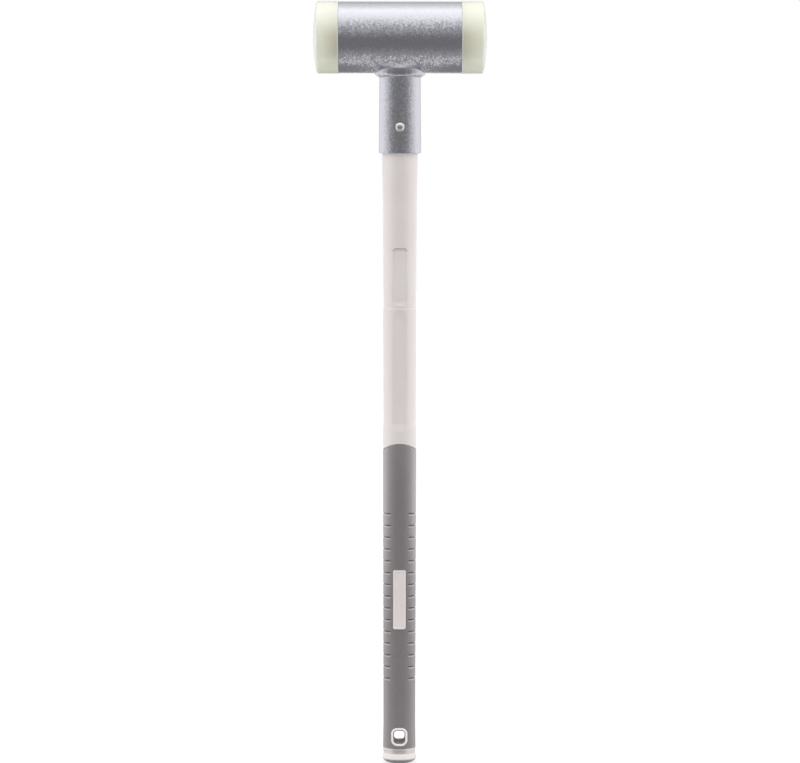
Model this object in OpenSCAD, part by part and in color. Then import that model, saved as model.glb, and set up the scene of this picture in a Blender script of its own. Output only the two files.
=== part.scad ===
// Dead blow sledgehammer: a steel tube head with two plastic striking faces and loose shot inside,
// on an oval two-component handle. It stands upright on its butt: +Z runs up the handle,
// X is the striking axis and -Y is the front.

/* [Head tube] */
// Height of the head's axis above the butt
head_h = 811; // [740:1:880]
// Outside diameter of the head tube
tube_d = 79; // [75:0.5:84]
// Length of the head tube
tube_len = 136; // [124:1:160]
// Wall of the head tube round the shot chamber
chamber_wall = 6.5; // [5:0.25:9]
// Wall of the head tube round the discs and the inserts
seat_wall = 4.5; // [3:0.25:5]
// Chamfer on the ends of the head tube
tube_chamfer = 0.8; // [0.3:0.1:1.5]

/* [Striking inserts] */
// Height that the inserts stand above the tube all round
face_lip = 0.5; // [0:0.1:5]
// Length of an insert outside the tube, to the top of its crown
insert_len = 28; // [20:0.5:36]
// Rise of the crowned face
crown_rise = 4; // [2:0.25:6]
// Rounding of the face's edge
face_edge_r = 2; // [1:0.25:3]
// Length of the spigot inside the tube
spigot_len = 18; // [15:0.5:22]
// Width of the snap rib round the spigot
rib_w = 4; // [2:0.25:6]
// Height of the snap rib
rib_h = 0.8; // [0.4:0.1:1.2]
// Thickness of the disc that closes the chamber
disc_t = 5; // [3:0.5:8]

/* [Shot] */
// Diameter of one ball
ball_d = 10.5; // [9:0.5:12]
// Height of the highest ball centres above the head's axis
fill_h = 7; // [0:0.5:14]
// Free travel of the shot to each side
shot_travel = 12; // [8:0.5:18]

/* [Neck] */
// Distance from the underside of the head tube down to the rim of the neck
neck_len = 88; // [70:0.5:110]
// Diameter of the neck at the head's axis
neck_top_d = 45.3; // [44.5:0.1:48]
// Widening of the neck from the head's axis to its rim, on each side
neck_flare = 0.9; // [0:0.05:1.5]
// Wall of the neck at the head's axis
socket_wall = 2.55; // [1.8:0.05:3.5]
// Distance that the weld collar stands out from the neck along the head
collar_reach = 6.3; // [4:0.1:9]
// Distance that the collar stands out from the neck at the front and the back
collar_front = 2.3; // [1.5:0.1:5]
// Distance from the underside of the head tube down to the collar's lower edge
collar_hang = 4.4; // [3:0.2:8]
// Height of the straight band above the collar's bead
collar_band = 5; // [1:0.25:7]
// Radius of the cove where the collar runs out on the head
cove_r = 8; // [4:0.25:12]

/* [Rivet] */
// Distance from the rim of the neck up to the rivet
rivet_rise = 29.5; // [12:0.5:50]
// Diameter of the rivet's shank
rivet_d = 6; // [4:0.25:8]
// Diameter of the rivet's heads
rivet_head_d = 10.4; // [9:0.1:13]
// Height of the rivet's heads
rivet_head_h = 3.4; // [2:0.1:4.5]

/* [Handle sleeve] */
// Depth of the oval handle divided by its width
oval_ratio = 0.78; // [0.7:0.01:0.9]
// Width of the handle below the shoulder
shank_w = 37.7; // [36.5:0.1:39]
// Width at the top of the label band
band_top_w = 37.2; // [36:0.1:38.5]
// Width at the waist, at the foot of the label band
waist_w = 36.1; // [34.5:0.1:37]
// Length of the shoulder from the neck's rim down
shoulder_len = 52; // [40:1:80]
// Diameter of the glass fibre core
core_d = 18; // [14:0.5:20]
// Distance from the grip's top edge up to the foot of the label band
band_rise = 22; // [14:0.5:40]
// Length of the label band
band_len = 128; // [110:1:140]
// Width of the flat of the label band
flat_w = 15.2; // [10:0.2:18]
// Length of the ramp at the foot of the label band's flat
flat_ramp = 8; // [3:0.5:12]
// Length of the scooped recess above the band
scoop_len = 64; // [40:1:80]
// Width of the scooped recess
scoop_w = 15; // [10:0.2:18]
// Depth of the scooped recess
scoop_depth = 1.7; // [0.8:0.1:2.5]
// Radius of the arc in which the scoop runs out at its foot
scoop_low_r = 13; // [8:0.5:20]
// Radius of the arc in which the scoop ends at its top
scoop_top_r = 5.5; // [4:0.25:12]
// Distance from the label band up to the scooped recess
scoop_rise = 4; // [2:0.5:12]
// Set-back of the sloped step at the top of the label band, on each side
band_step = 0.3; // [0.1:0.05:0.6]
// Height of that step
band_step_h = 1.8; // [0.4:0.1:3]
// Height of the sloped step at the foot of the label band
foot_step = 5; // [2:0.5:8]
// Gap between the end of the handle and the head tube
tang_gap = 2; // [1:0.25:6]

/* [Soft grip] */
// Height of the grip's arched top edge at its middle
grip_top_z = 361; // [340:0.5:364]
// Height of the grip's lower edge
grip_low_z = 17.4; // [16:0.2:18.5]
// Thickness of the grip
grip_t = 2.5; // [2:0.1:3.5]
// Width of the grip at its top
grip_top_w = 37.2; // [36.5:0.1:39]
// Width of the grip halfway down
grip_mid_w = 36.4; // [35:0.1:38]
// Width of the grip at its waist, above the hanging hole
grip_low_w = 35.7; // [34.5:0.1:37]
// Radius of the arch of the top edge
arch_r = 28.5; // [24:0.5:40]
// Number of grooves on each side
groove_count = 15; // [8:1:18]
// Distance between grooves
groove_pitch = 13.27; // [8:0.1:13.5]
// Height of the lowest groove
groove_low_z = 96; // [80:0.5:110]
// Height of one groove
groove_h = 1.7; // [1:0.1:2.5]
// Depth of one groove
groove_depth = 1.1; // [0.6:0.1:1.6]
// Distance from the handle's middle to where the grooves begin
groove_start = 9.3; // [7:0.1:12]

/* [Badge and hanging hole] */
// Width of the badge plate
badge_w = 14.7; // [10:0.1:17]
// Height of the badge plate
badge_h = 66.4; // [40:0.2:80]
// Height of the badge plate's middle
badge_z = 184.5; // [150:0.5:220]
// Corner radius of the badge plate
badge_r = 1.7; // [1:0.1:3]
// Width of the hanging hole
hole_w = 13; // [10:0.25:14]
// Height of the hanging hole
hole_h = 16; // [12:0.25:17]
// Distance from the grip's lower edge up to the eyelet frame
hole_margin = 2.4; // [1.5:0.1:6]
// Corner radius of the hole
hole_r = 4; // [2:0.25:4.5]
// Width of the eyelet frame round the hole
eyelet_t = 2.8; // [2:0.1:3]
// Height that the badge and the eyelets stand above the grip
trim_proud = 0.4; // [0.2:0.05:0.8]
// Wall of soft grip that lines the hole
lining_t = 1.4; // [1:0.1:2]

/* [Butt cap] */
// Height of the butt cap
cap_h = 11.6; // [10:0.2:13]
// Width of the handle where the cap begins
end_w = 36.7; // [35.5:0.1:38]
// Largest width of the butt cap
cap_w = 37.6; // [36.5:0.1:39]
// Rounding of the butt cap's lower edge
cap_round = 5; // [3:0.25:5.5]
// Diameter of the plug that holds the cap in the sleeve
plug_d = 18; // [14:0.5:20]
// Length of the plug
plug_len = 5; // [4:0.25:6]
// Height of the fine groove above the cap
line_z = 14.6; // [13.8:0.1:15.2]
// Width and depth of the fine lines round the end
line_w = 0.5; // [0.3:0.05:0.8]

/* [Clearances] */
// Gap where one piece is pressed, glued or moulded into another
fit_gap = 0.05; // [0.02:0.01:0.1]
// Gap between the shot and its chamber, and between balls
shot_gap = 0.3; // [0.2:0.05:0.6]

/* [Hidden] */

$fn = 72;
// More than the object's size in any direction, for cuts that go right through
through = 400;

// Head, measured along the striking axis from the middle
tube_end = tube_len / 2;
chamber_d = tube_d - 2 * chamber_wall;
seat_d = tube_d - 2 * seat_wall;
insert_d = tube_d + 2 * face_lip;
disc_out = tube_end - spigot_len;
disc_in = disc_out - disc_t;
rib_mid = tube_end - spigot_len / 2;

// Shot: rings of balls round the chamber, repeated in slices along it
ball_pitch = ball_d + shot_gap;
first_ring = chamber_d / 2 - shot_gap - ball_d / 2;
ring_count = ceil(first_ring / ball_pitch);
slice_count = floor((2 * (disc_in - shot_travel - shot_gap) + shot_gap) / ball_pitch);

// Neck, collar and rivet, measured down from the head's axis
neck_drop = tube_d / 2 + neck_len;
collar_drop = tube_d / 2 + collar_hang;
rivet_drop = neck_drop - rivet_rise;
rim_z = head_h - neck_drop;
rivet_z = head_h - rivet_drop;
neck_rim_d = neck_top_d + 2 * neck_flare;
socket_d = neck_top_d - 2 * socket_wall;
neck_slope = neck_flare / neck_drop;
neck_at_collar = neck_top_d + 2 * neck_slope * collar_drop;
collar_w = neck_at_collar + 2 * collar_reach;
collar_depth = neck_at_collar + 2 * collar_front;
rivet_flat_d = rivet_head_d + 8 * fit_gap;
neck_at_rivet = neck_top_d / 2 + neck_slope * (rivet_drop - rivet_flat_d / 2);
rivet_seat = sqrt(pow(neck_at_rivet, 2) - pow(rivet_flat_d / 2, 2));
rivet_dome_r = (pow(rivet_head_d / 2, 2) + pow(rivet_head_h, 2)) / (2 * rivet_head_h);
rivet_dome_angle = asin(rivet_head_d / 2 / rivet_dome_r);

// Handle: the width at each height, from the butt up
tang_d = socket_d - 2 * fit_gap;
tang_top = head_h - tube_d / 2 - tang_gap;
shoulder_z = rim_z - shoulder_len;
mouth_w = tang_d - 6 * fit_gap;
arch_z = grip_top_z - arch_r;
band_low_z = grip_top_z + band_rise;
band_top_z = band_low_z + band_len;
frame_w = hole_w + 2 * eyelet_t;
frame_h = hole_h + 2 * eyelet_t;
frame_r = hole_r + eyelet_t;
hole_z = grip_low_z + hole_margin + frame_h / 2;
grip_mid_z = (grip_top_z + grip_low_z) / 2;
grip_waist_z = hole_z + hole_h;
stations = [
    [cap_h, end_w],
    [grip_waist_z, grip_low_w],
    [grip_mid_z, grip_mid_w],
    [arch_z, grip_top_w],
    [band_low_z - foot_step, grip_top_w],
    [band_low_z, waist_w],
    [band_top_z, band_top_w],
    [band_top_z + band_step_h, band_top_w - 2 * band_step],
    [shoulder_z, shank_w],
    [rim_z, mouth_w],
    [tang_top, mouth_w],
];
scoop_low = band_top_z + scoop_rise;
scoop_high = scoop_low + scoop_len;
core_low = hole_z + hole_h / 2 + 3 * lining_t;
core_top = tang_top - tang_gap;
lined_w = hole_w + 2 * lining_t;
lined_h = hole_h + 2 * lining_t;
lined_r = hole_r + lining_t;
trim_floor = grip_t / 2;

silver_paint = "#a9abb0";
bright_steel = "#d4d6d9";
ivory_plastic = "#e6ead2";
pale_plastic = "#d9d0cb";
grey_rubber = "#77726f";
resin_glass = "#c9b46a";

function half_w(z) = lookup(z, stations) / 2;
function half_depth(z) = half_w(z) * oval_ratio;
// How far in front of the middle a flat lies that is this wide on the oval at a height
function flat_depth(z, w) = half_depth(z) * sqrt(1 - pow(w / 2 / half_w(z), 2));
function heights(z0, z1) = concat([z0], [for (s = stations) if (s[0] > z0 && s[0] < z1) s[0]], [z1]);
function arc(x, y, r, a0, a1, steps) =
    [for (i = [0 : steps]) let (a = a0 + (a1 - a0) * i / steps) [x + r * cos(a), y + r * sin(a)]];

// A round profile flattened front to back into an oval, in two halves as its mould has
module flattened(ratio = oval_ratio)
    for (half = [0, 180])
        scale([1, ratio, 1]) rotate([0, 0, half]) rotate_extrude(angle = 180) children();

// The oval handle between two heights, grown or shrunk all round
module oval(z0, z1, grow = 0) {
    side = [for (z = heights(z0, z1)) [half_w(z) + grow, z]];
    flattened() polygon(concat([[0, z0]], side, [[0, z1]]));
}

// Children lie along the striking axis, at the head
module at_head() translate([0, 0, head_h]) rotate([0, 90, 0]) children();

// A flat shape drawn in X and Z, carried right through the handle from front to back
module front_cut(z) translate([0, through / 2, z]) rotate([90, 0, 0]) linear_extrude(through) children();

// Half of the space, in front of the handle's middle or behind it
module half_space(side) translate([-through / 2, side > 0 ? 0 : -through, -through / 2])
    cube([through, through, 4 * through]);

module rounded_rect(w, h, r) {
    square([w - 2 * r, h], center = true);
    square([w, h - 2 * r], center = true);
    for (x = [-1, 1])
        for (y = [-1, 1])
            translate([x * (w / 2 - r), y * (h / 2 - r)]) circle(r);
}

module neck_cone(grow = 0) translate([0, 0, rim_z])
    cylinder(d1 = neck_rim_d + 2 * grow, d2 = neck_top_d + 2 * grow, h = neck_drop);

module rivet_bore(d) translate([0, 0, rivet_z]) rotate([90, 0, 0])
    cylinder(d = d, h = through, center = true);

module head_tube() color(silver_paint) at_head() difference() {
    rotate_extrude()
        polygon([
            [0, -tube_end],
            [tube_d / 2 - tube_chamfer, -tube_end],
            [tube_d / 2, -tube_end + tube_chamfer],
            [tube_d / 2, tube_end - tube_chamfer],
            [tube_d / 2 - tube_chamfer, tube_end],
            [0, tube_end],
        ]);
    cylinder(d = chamber_d, h = through, center = true);
    for (s = [0, 1]) mirror([0, 0, s]) {
        translate([0, 0, disc_in]) cylinder(d = seat_d, h = through);
        translate([0, 0, rib_mid - rib_w / 2 - fit_gap])
            cylinder(d = seat_d + 2 * rib_h + 2 * fit_gap, h = rib_w + 2 * fit_gap);
    }
}

module neck_socket() color(silver_paint) difference() {
    neck_cone();
    translate([0, 0, rim_z - neck_drop]) cylinder(d = socket_d, h = 2 * neck_drop);
    at_head() cylinder(d = tube_d + 2 * fit_gap, h = through, center = true);
    rivet_bore(rivet_d + 2 * fit_gap);
    for (side = [90, -90])
        translate([0, 0, rivet_z]) rotate([side, 0, 0])
            translate([0, 0, rivet_seat - fit_gap]) cylinder(d = rivet_flat_d, h = through);
}

// The weld: a rounded bead up from the neck, a straight band, and a cove that runs out on the head tube
module weld_collar() color(silver_paint) difference() {
    foot_r = neck_at_collar / 2 + 2 * fit_gap;
    tip_r = collar_w / 2;
    band_z = collar_band - tube_d / 2;
    bead = [for (a = [0 : 15 : 90])
        [foot_r + (tip_r - foot_r) * sin(a), collar_hang * (1 - cos(a)) - collar_drop]];
    cove = arc(tip_r + cove_r, band_z, cove_r, 180, 130, 4);
    cove_end = cove[len(cove) - 1];
    translate([0, 0, head_h])
        flattened(collar_depth / collar_w)
            polygon(concat(
                [[socket_d / 2, -collar_drop]],
                bead,
                cove,
                [cove_end + [0, cove_r], [socket_d / 2, cove_end[1] + cove_r]]
            ));
    neck_cone(fit_gap);
    at_head() cylinder(d = tube_d + 2 * fit_gap, h = through, center = true);
}

// An insert to the right: the spigot with its snap rib, then the crowned face
module striking_insert() {
    face_r = insert_d / 2;
    spigot_r = seat_d / 2 - fit_gap;
    lead_in = 1.5;
    base = tube_end + fit_gap;
    tip = tube_end + insert_len;
    crown_r = (face_r * face_r + crown_rise * crown_rise) / (2 * crown_rise);
    crown_angle = asin((face_r - face_edge_r) / (crown_r - face_edge_r));
    crown_mid = tip - crown_r;
    edge_y = crown_mid + (crown_r - face_edge_r) * cos(crown_angle);
    at_head() rotate_extrude()
        polygon(concat(
            [
                [0, disc_out + fit_gap],
                [spigot_r - lead_in, disc_out + fit_gap],
                [spigot_r, disc_out + fit_gap + lead_in],
                [spigot_r, rib_mid - rib_w / 2],
                [spigot_r + rib_h, rib_mid - rib_w / 4],
                [spigot_r + rib_h, rib_mid + rib_w / 4],
                [spigot_r, rib_mid + rib_w / 2],
                [spigot_r, base],
                [face_r - tube_chamfer, base],
                [face_r, base + tube_chamfer],
            ],
            arc(face_r - face_edge_r, edge_y, face_edge_r, 0, 90 - crown_angle, 5),
            arc(0, crown_mid, crown_r, 90 - crown_angle * 7 / 8, 90, 7)
        ));
}

module right_insert() color(ivory_plastic) striking_insert();
module left_insert() color(ivory_plastic) mirror([1, 0, 0]) striking_insert();

module chamber_disc() at_head() translate([0, 0, disc_in + fit_gap])
    cylinder(d = seat_d - 2 * fit_gap, h = disc_t - fit_gap);

module right_chamber_disc() color(bright_steel) chamber_disc();
module left_chamber_disc() color(bright_steel) mirror([1, 0, 0]) chamber_disc();

// Balls lie in rings round the chamber, the outer ring on its wall, up to the fill height
module steel_shot() color(bright_steel) translate([0, 0, head_h])
    for (slice = [0 : slice_count - 1])
        for (ring = [0 : ring_count - 1]) {
            x = (slice - (slice_count - 1) / 2) * ball_pitch;
            r = first_ring - ring * ball_pitch;
            step = r > ball_pitch / 2 ? 2 * asin(ball_pitch / 2 / r) : 360;
            reach = floor(180 / step - 0.5);
            for (i = [-reach : reach])
                if (-r * cos(i * step) <= fill_h)
                    translate([x, r * sin(i * step), -r * cos(i * step)]) sphere(d = ball_d);
        }

// Half of the rivet's outline: the shank up to the seat, then the domed head
function rivet_half() = concat(
    [[rivet_d / 2, rivet_seat], [rivet_head_d / 2, rivet_seat]],
    arc(0, rivet_seat + rivet_head_h - rivet_dome_r, rivet_dome_r, 90 - rivet_dome_angle, 90, 8)
);

module handle_rivet() color(bright_steel) translate([0, 0, rivet_z]) rotate([90, 0, 0])
    rotate_extrude()
        polygon(concat(
            [for (i = [len(rivet_half()) - 1 : -1 : 0]) [rivet_half()[i][0], -rivet_half()[i][1]]],
            rivet_half()
        ));

module fibreglass_core() color(resin_glass) difference() {
    translate([0, 0, core_low]) cylinder(d = core_d, h = core_top - core_low);
    rivet_bore(rivet_d + 2 * fit_gap);
}

// The pale moulding: an oval shank above the arch, a thinner seat for the grip below it
module sleeve_body() {
    difference() {
        oval(arch_z, rim_z);
        translate([0, 0, arch_z]) rotate([90, 0, 0])
            cylinder(r = arch_r + fit_gap, h = through, center = true);
    }
    oval(cap_h + fit_gap, grip_top_z + grip_t, -grip_t);
    oval(cap_h + fit_gap, grip_low_z - fit_gap);
    translate([0, 0, shoulder_z])
        cylinder(d1 = shank_w * oval_ratio - 8 * fit_gap, d2 = tang_d, h = shoulder_len);
    translate([0, 0, rim_z]) cylinder(d = tang_d, h = tang_top - rim_z);
}

// A shape drawn in Y and Z, carried along X over a width in the middle of the handle
module along_x(w) rotate([90, 0, 90]) linear_extrude(w, center = true) children();

// The flat of the label band on the back: a ramp at its foot and a straight ledge at its top
module label_flat() {
    foot_z = band_low_z - flat_ramp;
    low_y = flat_depth(band_low_z, flat_w);
    top_y = flat_depth(band_top_z, flat_w);
    out_y = shank_w;
    ramp_run = flat_ramp * (out_y - low_y) / (half_depth(foot_z) - low_y);
    along_x(through)
        polygon([
            [low_y, band_low_z],
            [out_y, band_low_z - ramp_run],
            [out_y, band_top_z],
            [top_y, band_top_z],
        ]);
}

// The scoop above the band on the back: a flat floor that runs out in an arc at each end
module scoop() {
    floor_y = half_depth(scoop_low) - scoop_depth;
    low_turn = acos(1 - scoop_depth / scoop_low_r);
    top_turn = acos(1 - (half_depth(scoop_high) - floor_y) / scoop_top_r);
    beyond = 12;
    along_x(scoop_w)
        polygon(concat(
            arc(floor_y + scoop_low_r, scoop_low + scoop_low_r * sin(low_turn), scoop_low_r,
                180 + low_turn + beyond, 180, 8),
            arc(floor_y + scoop_top_r, scoop_high - scoop_top_r * sin(top_turn), scoop_top_r,
                180, 180 - top_turn - beyond, 8)
        ));
}

// A ring-shaped cut round the oval handle
module ring_cut(z, height, depth) difference() {
    translate([0, 0, z]) cube([through, through, height], center = true);
    oval(z - height, z + height, -depth);
}

module handle_sleeve() color(pale_plastic) difference() {
    sleeve_body();
    translate([0, 0, core_low - fit_gap])
        cylinder(d = core_d + 2 * fit_gap, h = core_top - core_low + 2 * fit_gap);
    rivet_bore(rivet_d + 2 * fit_gap);
    for (s = [0, 1]) mirror([0, s, 0]) {
        label_flat();
        scoop();
    }
    front_cut(hole_z) rounded_rect(lined_w + 2 * fit_gap, lined_h + 2 * fit_gap, lined_r);
    cylinder(d = plug_d + 2 * fit_gap, h = cap_h + plug_len + fit_gap);
    ring_cut(line_z, line_w, line_w);
}

// The soft shell, with the wall that lines the hanging hole
module grip_body() {
    difference() {
        oval(grip_low_z, grip_top_z);
        oval(grip_low_z - grip_t, grip_top_z + grip_t, fit_gap - grip_t);
    }
    intersection() {
        oval(grip_low_z, grip_top_z, -fit_gap);
        front_cut(hole_z) rounded_rect(lined_w, lined_h, lined_r);
    }
}

module side_grooves() difference() {
    for (i = [0 : groove_count - 1])
        for (s = [0, 1]) mirror([s, 0, 0])
            translate([groove_start, -through / 2, groove_low_z + i * groove_pitch - groove_h / 2])
                cube([through, through, groove_h]);
    oval(grip_low_z, grip_top_z, -groove_depth);
}

// What lies above the arched top edge
module above_arch() difference() {
    translate([-through / 2, -through / 2, arch_z]) cube([through, through, 2 * arch_r]);
    translate([0, 0, arch_z]) rotate([90, 0, 0]) cylinder(r = arch_r, h = 2 * through, center = true);
}

module soft_grip() color(grey_rubber) difference() {
    grip_body();
    above_arch();
    side_grooves();
    front_cut(hole_z) rounded_rect(hole_w, hole_h, hole_r);
    difference() {
        union() {
            front_cut(hole_z) rounded_rect(frame_w + 2 * fit_gap, frame_h + 2 * fit_gap, frame_r);
            intersection() {
                front_cut(badge_z) rounded_rect(badge_w + 2 * fit_gap, badge_h + 2 * fit_gap, badge_r);
                half_space(-1);
            }
        }
        oval(grip_low_z - grip_t, grip_top_z, -trim_floor);
    }
}

// A pale plate that follows the grip's surface, on the front or the back
module trim(z, side) intersection() {
    difference() {
        oval(grip_low_z, grip_top_z, trim_proud);
        oval(grip_low_z - grip_t, grip_top_z + grip_t, fit_gap - trim_floor);
    }
    half_space(side);
    front_cut(z) children();
}

module eyelet(side) trim(hole_z, side) difference() {
    rounded_rect(frame_w, frame_h, frame_r);
    rounded_rect(hole_w, hole_h, hole_r);
}

module grip_badge() color(pale_plastic) trim(badge_z, -1) rounded_rect(badge_w, badge_h, badge_r);
module eyelet_front() color(pale_plastic) eyelet(-1);
module eyelet_rear() color(pale_plastic) eyelet(1);

module butt_cap() color(pale_plastic) union() {
    bulge = cap_w / 2;
    flattened()
        polygon(concat(
            [[0, 0]],
            arc(bulge - cap_round, cap_round, cap_round, -90, 0, 6),
            [[end_w / 2, cap_h - line_w], [end_w / 2 - line_w, cap_h], [0, cap_h]]
        ));
    cylinder(d = plug_d, h = cap_h + plug_len);
}

head_tube();
neck_socket();
weld_collar();
left_insert();
right_insert();
left_chamber_disc();
right_chamber_disc();
steel_shot();
handle_rivet();
fibreglass_core();
handle_sleeve();
soft_grip();
grip_badge();
eyelet_front();
eyelet_rear();
butt_cap();
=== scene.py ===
# %% [markdown]
# # A dead blow sledgehammer, dressed for its picture
# The solids of this hammer come from a CAD model that is already packed: a steel tube head with two plastic
# striking faces, a neck with its weld and rivet, and a long oval handle with a soft grip. This script loads those
# solids as a fixed frame and gives every visible piece a finer surface and a finish. All shapes are worked out in
# millimetres with numpy and go into the mesh in metres, in the same frame as the solids: the hammer stands on its
# butt at the origin, +Z runs up the handle, X is the striking axis and -Y is the front.

import bpy
import numpy as np
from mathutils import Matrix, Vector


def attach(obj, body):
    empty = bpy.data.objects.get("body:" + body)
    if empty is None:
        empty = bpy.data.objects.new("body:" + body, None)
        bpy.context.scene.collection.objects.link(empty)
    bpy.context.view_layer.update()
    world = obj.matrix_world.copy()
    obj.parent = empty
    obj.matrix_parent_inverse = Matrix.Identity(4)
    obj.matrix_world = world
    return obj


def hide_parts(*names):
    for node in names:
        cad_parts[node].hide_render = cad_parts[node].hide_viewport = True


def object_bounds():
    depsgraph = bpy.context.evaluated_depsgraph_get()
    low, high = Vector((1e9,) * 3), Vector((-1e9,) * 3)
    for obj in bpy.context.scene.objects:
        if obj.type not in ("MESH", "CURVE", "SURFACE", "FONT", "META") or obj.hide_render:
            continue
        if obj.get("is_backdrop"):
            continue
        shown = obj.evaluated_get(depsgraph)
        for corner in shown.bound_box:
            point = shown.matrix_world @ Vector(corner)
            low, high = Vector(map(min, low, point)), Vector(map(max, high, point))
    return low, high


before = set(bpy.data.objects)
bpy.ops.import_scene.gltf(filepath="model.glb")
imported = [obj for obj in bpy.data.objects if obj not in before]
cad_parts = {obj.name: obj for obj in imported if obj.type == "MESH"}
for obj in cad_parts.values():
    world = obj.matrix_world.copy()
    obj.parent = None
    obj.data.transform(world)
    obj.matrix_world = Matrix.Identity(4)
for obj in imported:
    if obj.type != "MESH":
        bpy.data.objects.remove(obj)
cad_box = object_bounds()
MM = 0.001

# %% [markdown]
# ## From a grid of points to a mesh
# Nearly every piece here is a stack of closed rings: a round tube, an oval handle, a bead of weld. A ring could be
# made with Blender's own primitives and pushed about, but a grid of points that a formula fills is exact, and the
# faces follow from the numbering of the grid alone. One function turns any set of points and faces into a piece,
# and turns the faces round when the enclosed volume comes out negative, so that they always point outwards.

# %% A piece from points and faces
SHARP = np.radians(38)


def volume(points, quads, tris):
    """Six times the signed volume: the sum over triangles of a . (b x c)."""
    halves = np.vstack([quads[:, [0, 1, 2]], quads[:, [0, 2, 3]], tris])
    a, b, c = (points[halves[:, k]] for k in range(3))
    return np.einsum("ij,ij->", a, np.cross(b, c))


def piece(name, points, quads, tris=np.empty((0, 3), int)):
    """A mesh object at the origin, from points in mm and arrays of four- and three-sided faces."""
    if volume(points, quads, tris) < 0:
        quads, tris = quads[:, ::-1], tris[:, ::-1]
    mesh = bpy.data.meshes.new(name)
    mesh.from_pydata((points * MM).tolist(), [], quads.tolist() + tris.tolist())
    mesh.shade_smooth()
    mesh.set_sharp_from_angle(angle=SHARP)
    mesh.update()
    made = bpy.data.objects.new(name, mesh)
    bpy.context.scene.collection.objects.link(made)
    print(f"{name}: {len(points)} points, {2 * len(quads) + len(tris)} triangles")
    return made


# %% A skin over a stack of rings
def numbered(rings):
    """The number of each point of a stack of rings, in the stack's own shape."""
    count, around = rings.shape[:2]
    return np.arange(count * around).reshape(count, around)


def cells(ids):
    """The four corners of each cell of a grid of point numbers that closes on itself sideways."""
    beside = np.roll(ids, -1, axis=1)
    return np.stack([ids[:-1], beside[:-1], beside[1:], ids[1:]], -1)


def capped(rings, ids):
    """The points of all rings, then the middles of the first and of the last one, and the fans of triangles that
    close these two rings on their middles."""
    middle = np.full(ids.shape[1], ids.size)
    first = np.stack([np.roll(ids[0], -1), ids[0], middle], -1)
    last = np.stack([ids[-1], np.roll(ids[-1], -1), middle + 1], -1)
    return np.vstack([rings.reshape(-1, 3), rings[0].mean(0), rings[-1].mean(0)]), np.vstack([first, last])


def skin(name, rings, loop=False):
    """A closed surface through rings (rings x points x 3): each grid cell is a face. With loop the last ring
    joins the first, as in a tube wall; otherwise a fan of triangles closes each end on its ring's middle."""
    ids = numbered(rings)
    if loop:
        return piece(name, rings.reshape(-1, 3), cells(np.vstack([ids, ids[:1]])).reshape(-1, 4))
    points, ends = capped(rings, ids)
    return piece(name, points, cells(ids).reshape(-1, 4), ends)


# %% [markdown]
# ## Small tools for profiles
# A turned or moulded edge is never quite sharp, and the light that it catches is what makes it read as real. So a
# profile is written as its corner points, and each corner is replaced by a short curve. The set-back of a corner
# says how far from it the curve begins.

# %% Profiles and steps
def smooth_step(low, high, value):
    """0 below low, 1 above high, and 3t^2 - 2t^3 between them."""
    t = np.clip((value - low) / (high - low), 0, 1)
    return t * t * (3 - 2 * t)


def eased(corners, setbacks, steps=6):
    """A profile with its corners rounded: each becomes a quadratic curve from the point that lies its set-back
    before the corner to the point that lies as far after it, with the corner as its middle control point."""
    corners = np.asarray(corners, float)
    t = np.linspace(0, 1, steps)[:, None]
    out = []
    for k, back in enumerate(setbacks):
        here = corners[k]
        if back == 0:
            out.append(here[None])
            continue
        before = corners[k - 1] - here
        after = corners[(k + 1) % len(corners)] - here
        start = here + before / np.linalg.norm(before) * back
        end = here + after / np.linalg.norm(after) * back
        out.append((1 - t) ** 2 * start + 2 * t * (1 - t) * here + t ** 2 * end)
    return np.vstack(out)


def full_turn(steps):
    """Angles of one turn, evenly spread, without the last one that would repeat the first."""
    return np.linspace(0, 2 * np.pi, steps, endpoint=False)


def turned(profile, axis, around):
    """Rings of a turned piece: each profile point (position along the axis, radius) becomes a circle round the
    X, Y or Z axis."""
    t = full_turn(around)
    along = np.repeat(profile[:, :1], around, 1)
    u = profile[:, 1:] * np.cos(t)
    v = profile[:, 1:] * np.sin(t)
    order = {"X": (along, u, v), "Y": (u, along, v), "Z": (u, v, along)}[axis]
    return np.stack(order, -1)


# %% [markdown]
# ## Head tube
# The housing of the head is a thick steel tube, bored out for the shot and wider at both ends, where a disc and an
# insert sit. It is a lathe part, so its profile is carried round the striking axis. The ends get a small eased
# edge, because a bright rim shows there beside the pale inserts.

# %% Head tube
HEAD_Z = 811.0
TUBE_R, TUBE_END, TUBE_AROUND = 39.5, 68.0, 224
CHAMBER_R, SEAT_R, SEAT_IN = 33.0, 35.0, 45.0

tube_profile = eased(
    [(-TUBE_END, TUBE_R), (TUBE_END, TUBE_R), (TUBE_END, SEAT_R), (SEAT_IN, SEAT_R), (SEAT_IN, CHAMBER_R),
     (-SEAT_IN, CHAMBER_R), (-SEAT_IN, SEAT_R), (-TUBE_END, SEAT_R)],
    [0.6, 0.6, 0.4, 0, 0, 0, 0, 0.4],
)
at_head = np.array([0, 0, HEAD_Z])
head_tube = skin("head_tube_shell", turned(tube_profile, "X", TUBE_AROUND) + at_head, loop=True)

# %% [markdown]
# ## Striking inserts
# The two faces are moulded plastic plugs: a spigot with a snap rib inside the tube, a broad collar outside and a
# crowned face. A sphere's cap gives the crown, and the collar's edge runs into it in a soft rounding. A much smaller
# rounding where the collar meets the tube leaves the thin line of the joint.

# %% Striking inserts
FACE_R, FACE_TIP, CROWN_RISE, FACE_EDGE, NEAR_POLE = 40.0, 96.0, 4.0, 1.6, 0.004
SPIGOT_IN, RIB_MID, RIB_H, FIT = 50.05, 59.0, 0.8, 0.05
INSERT_AROUND = 192


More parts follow.
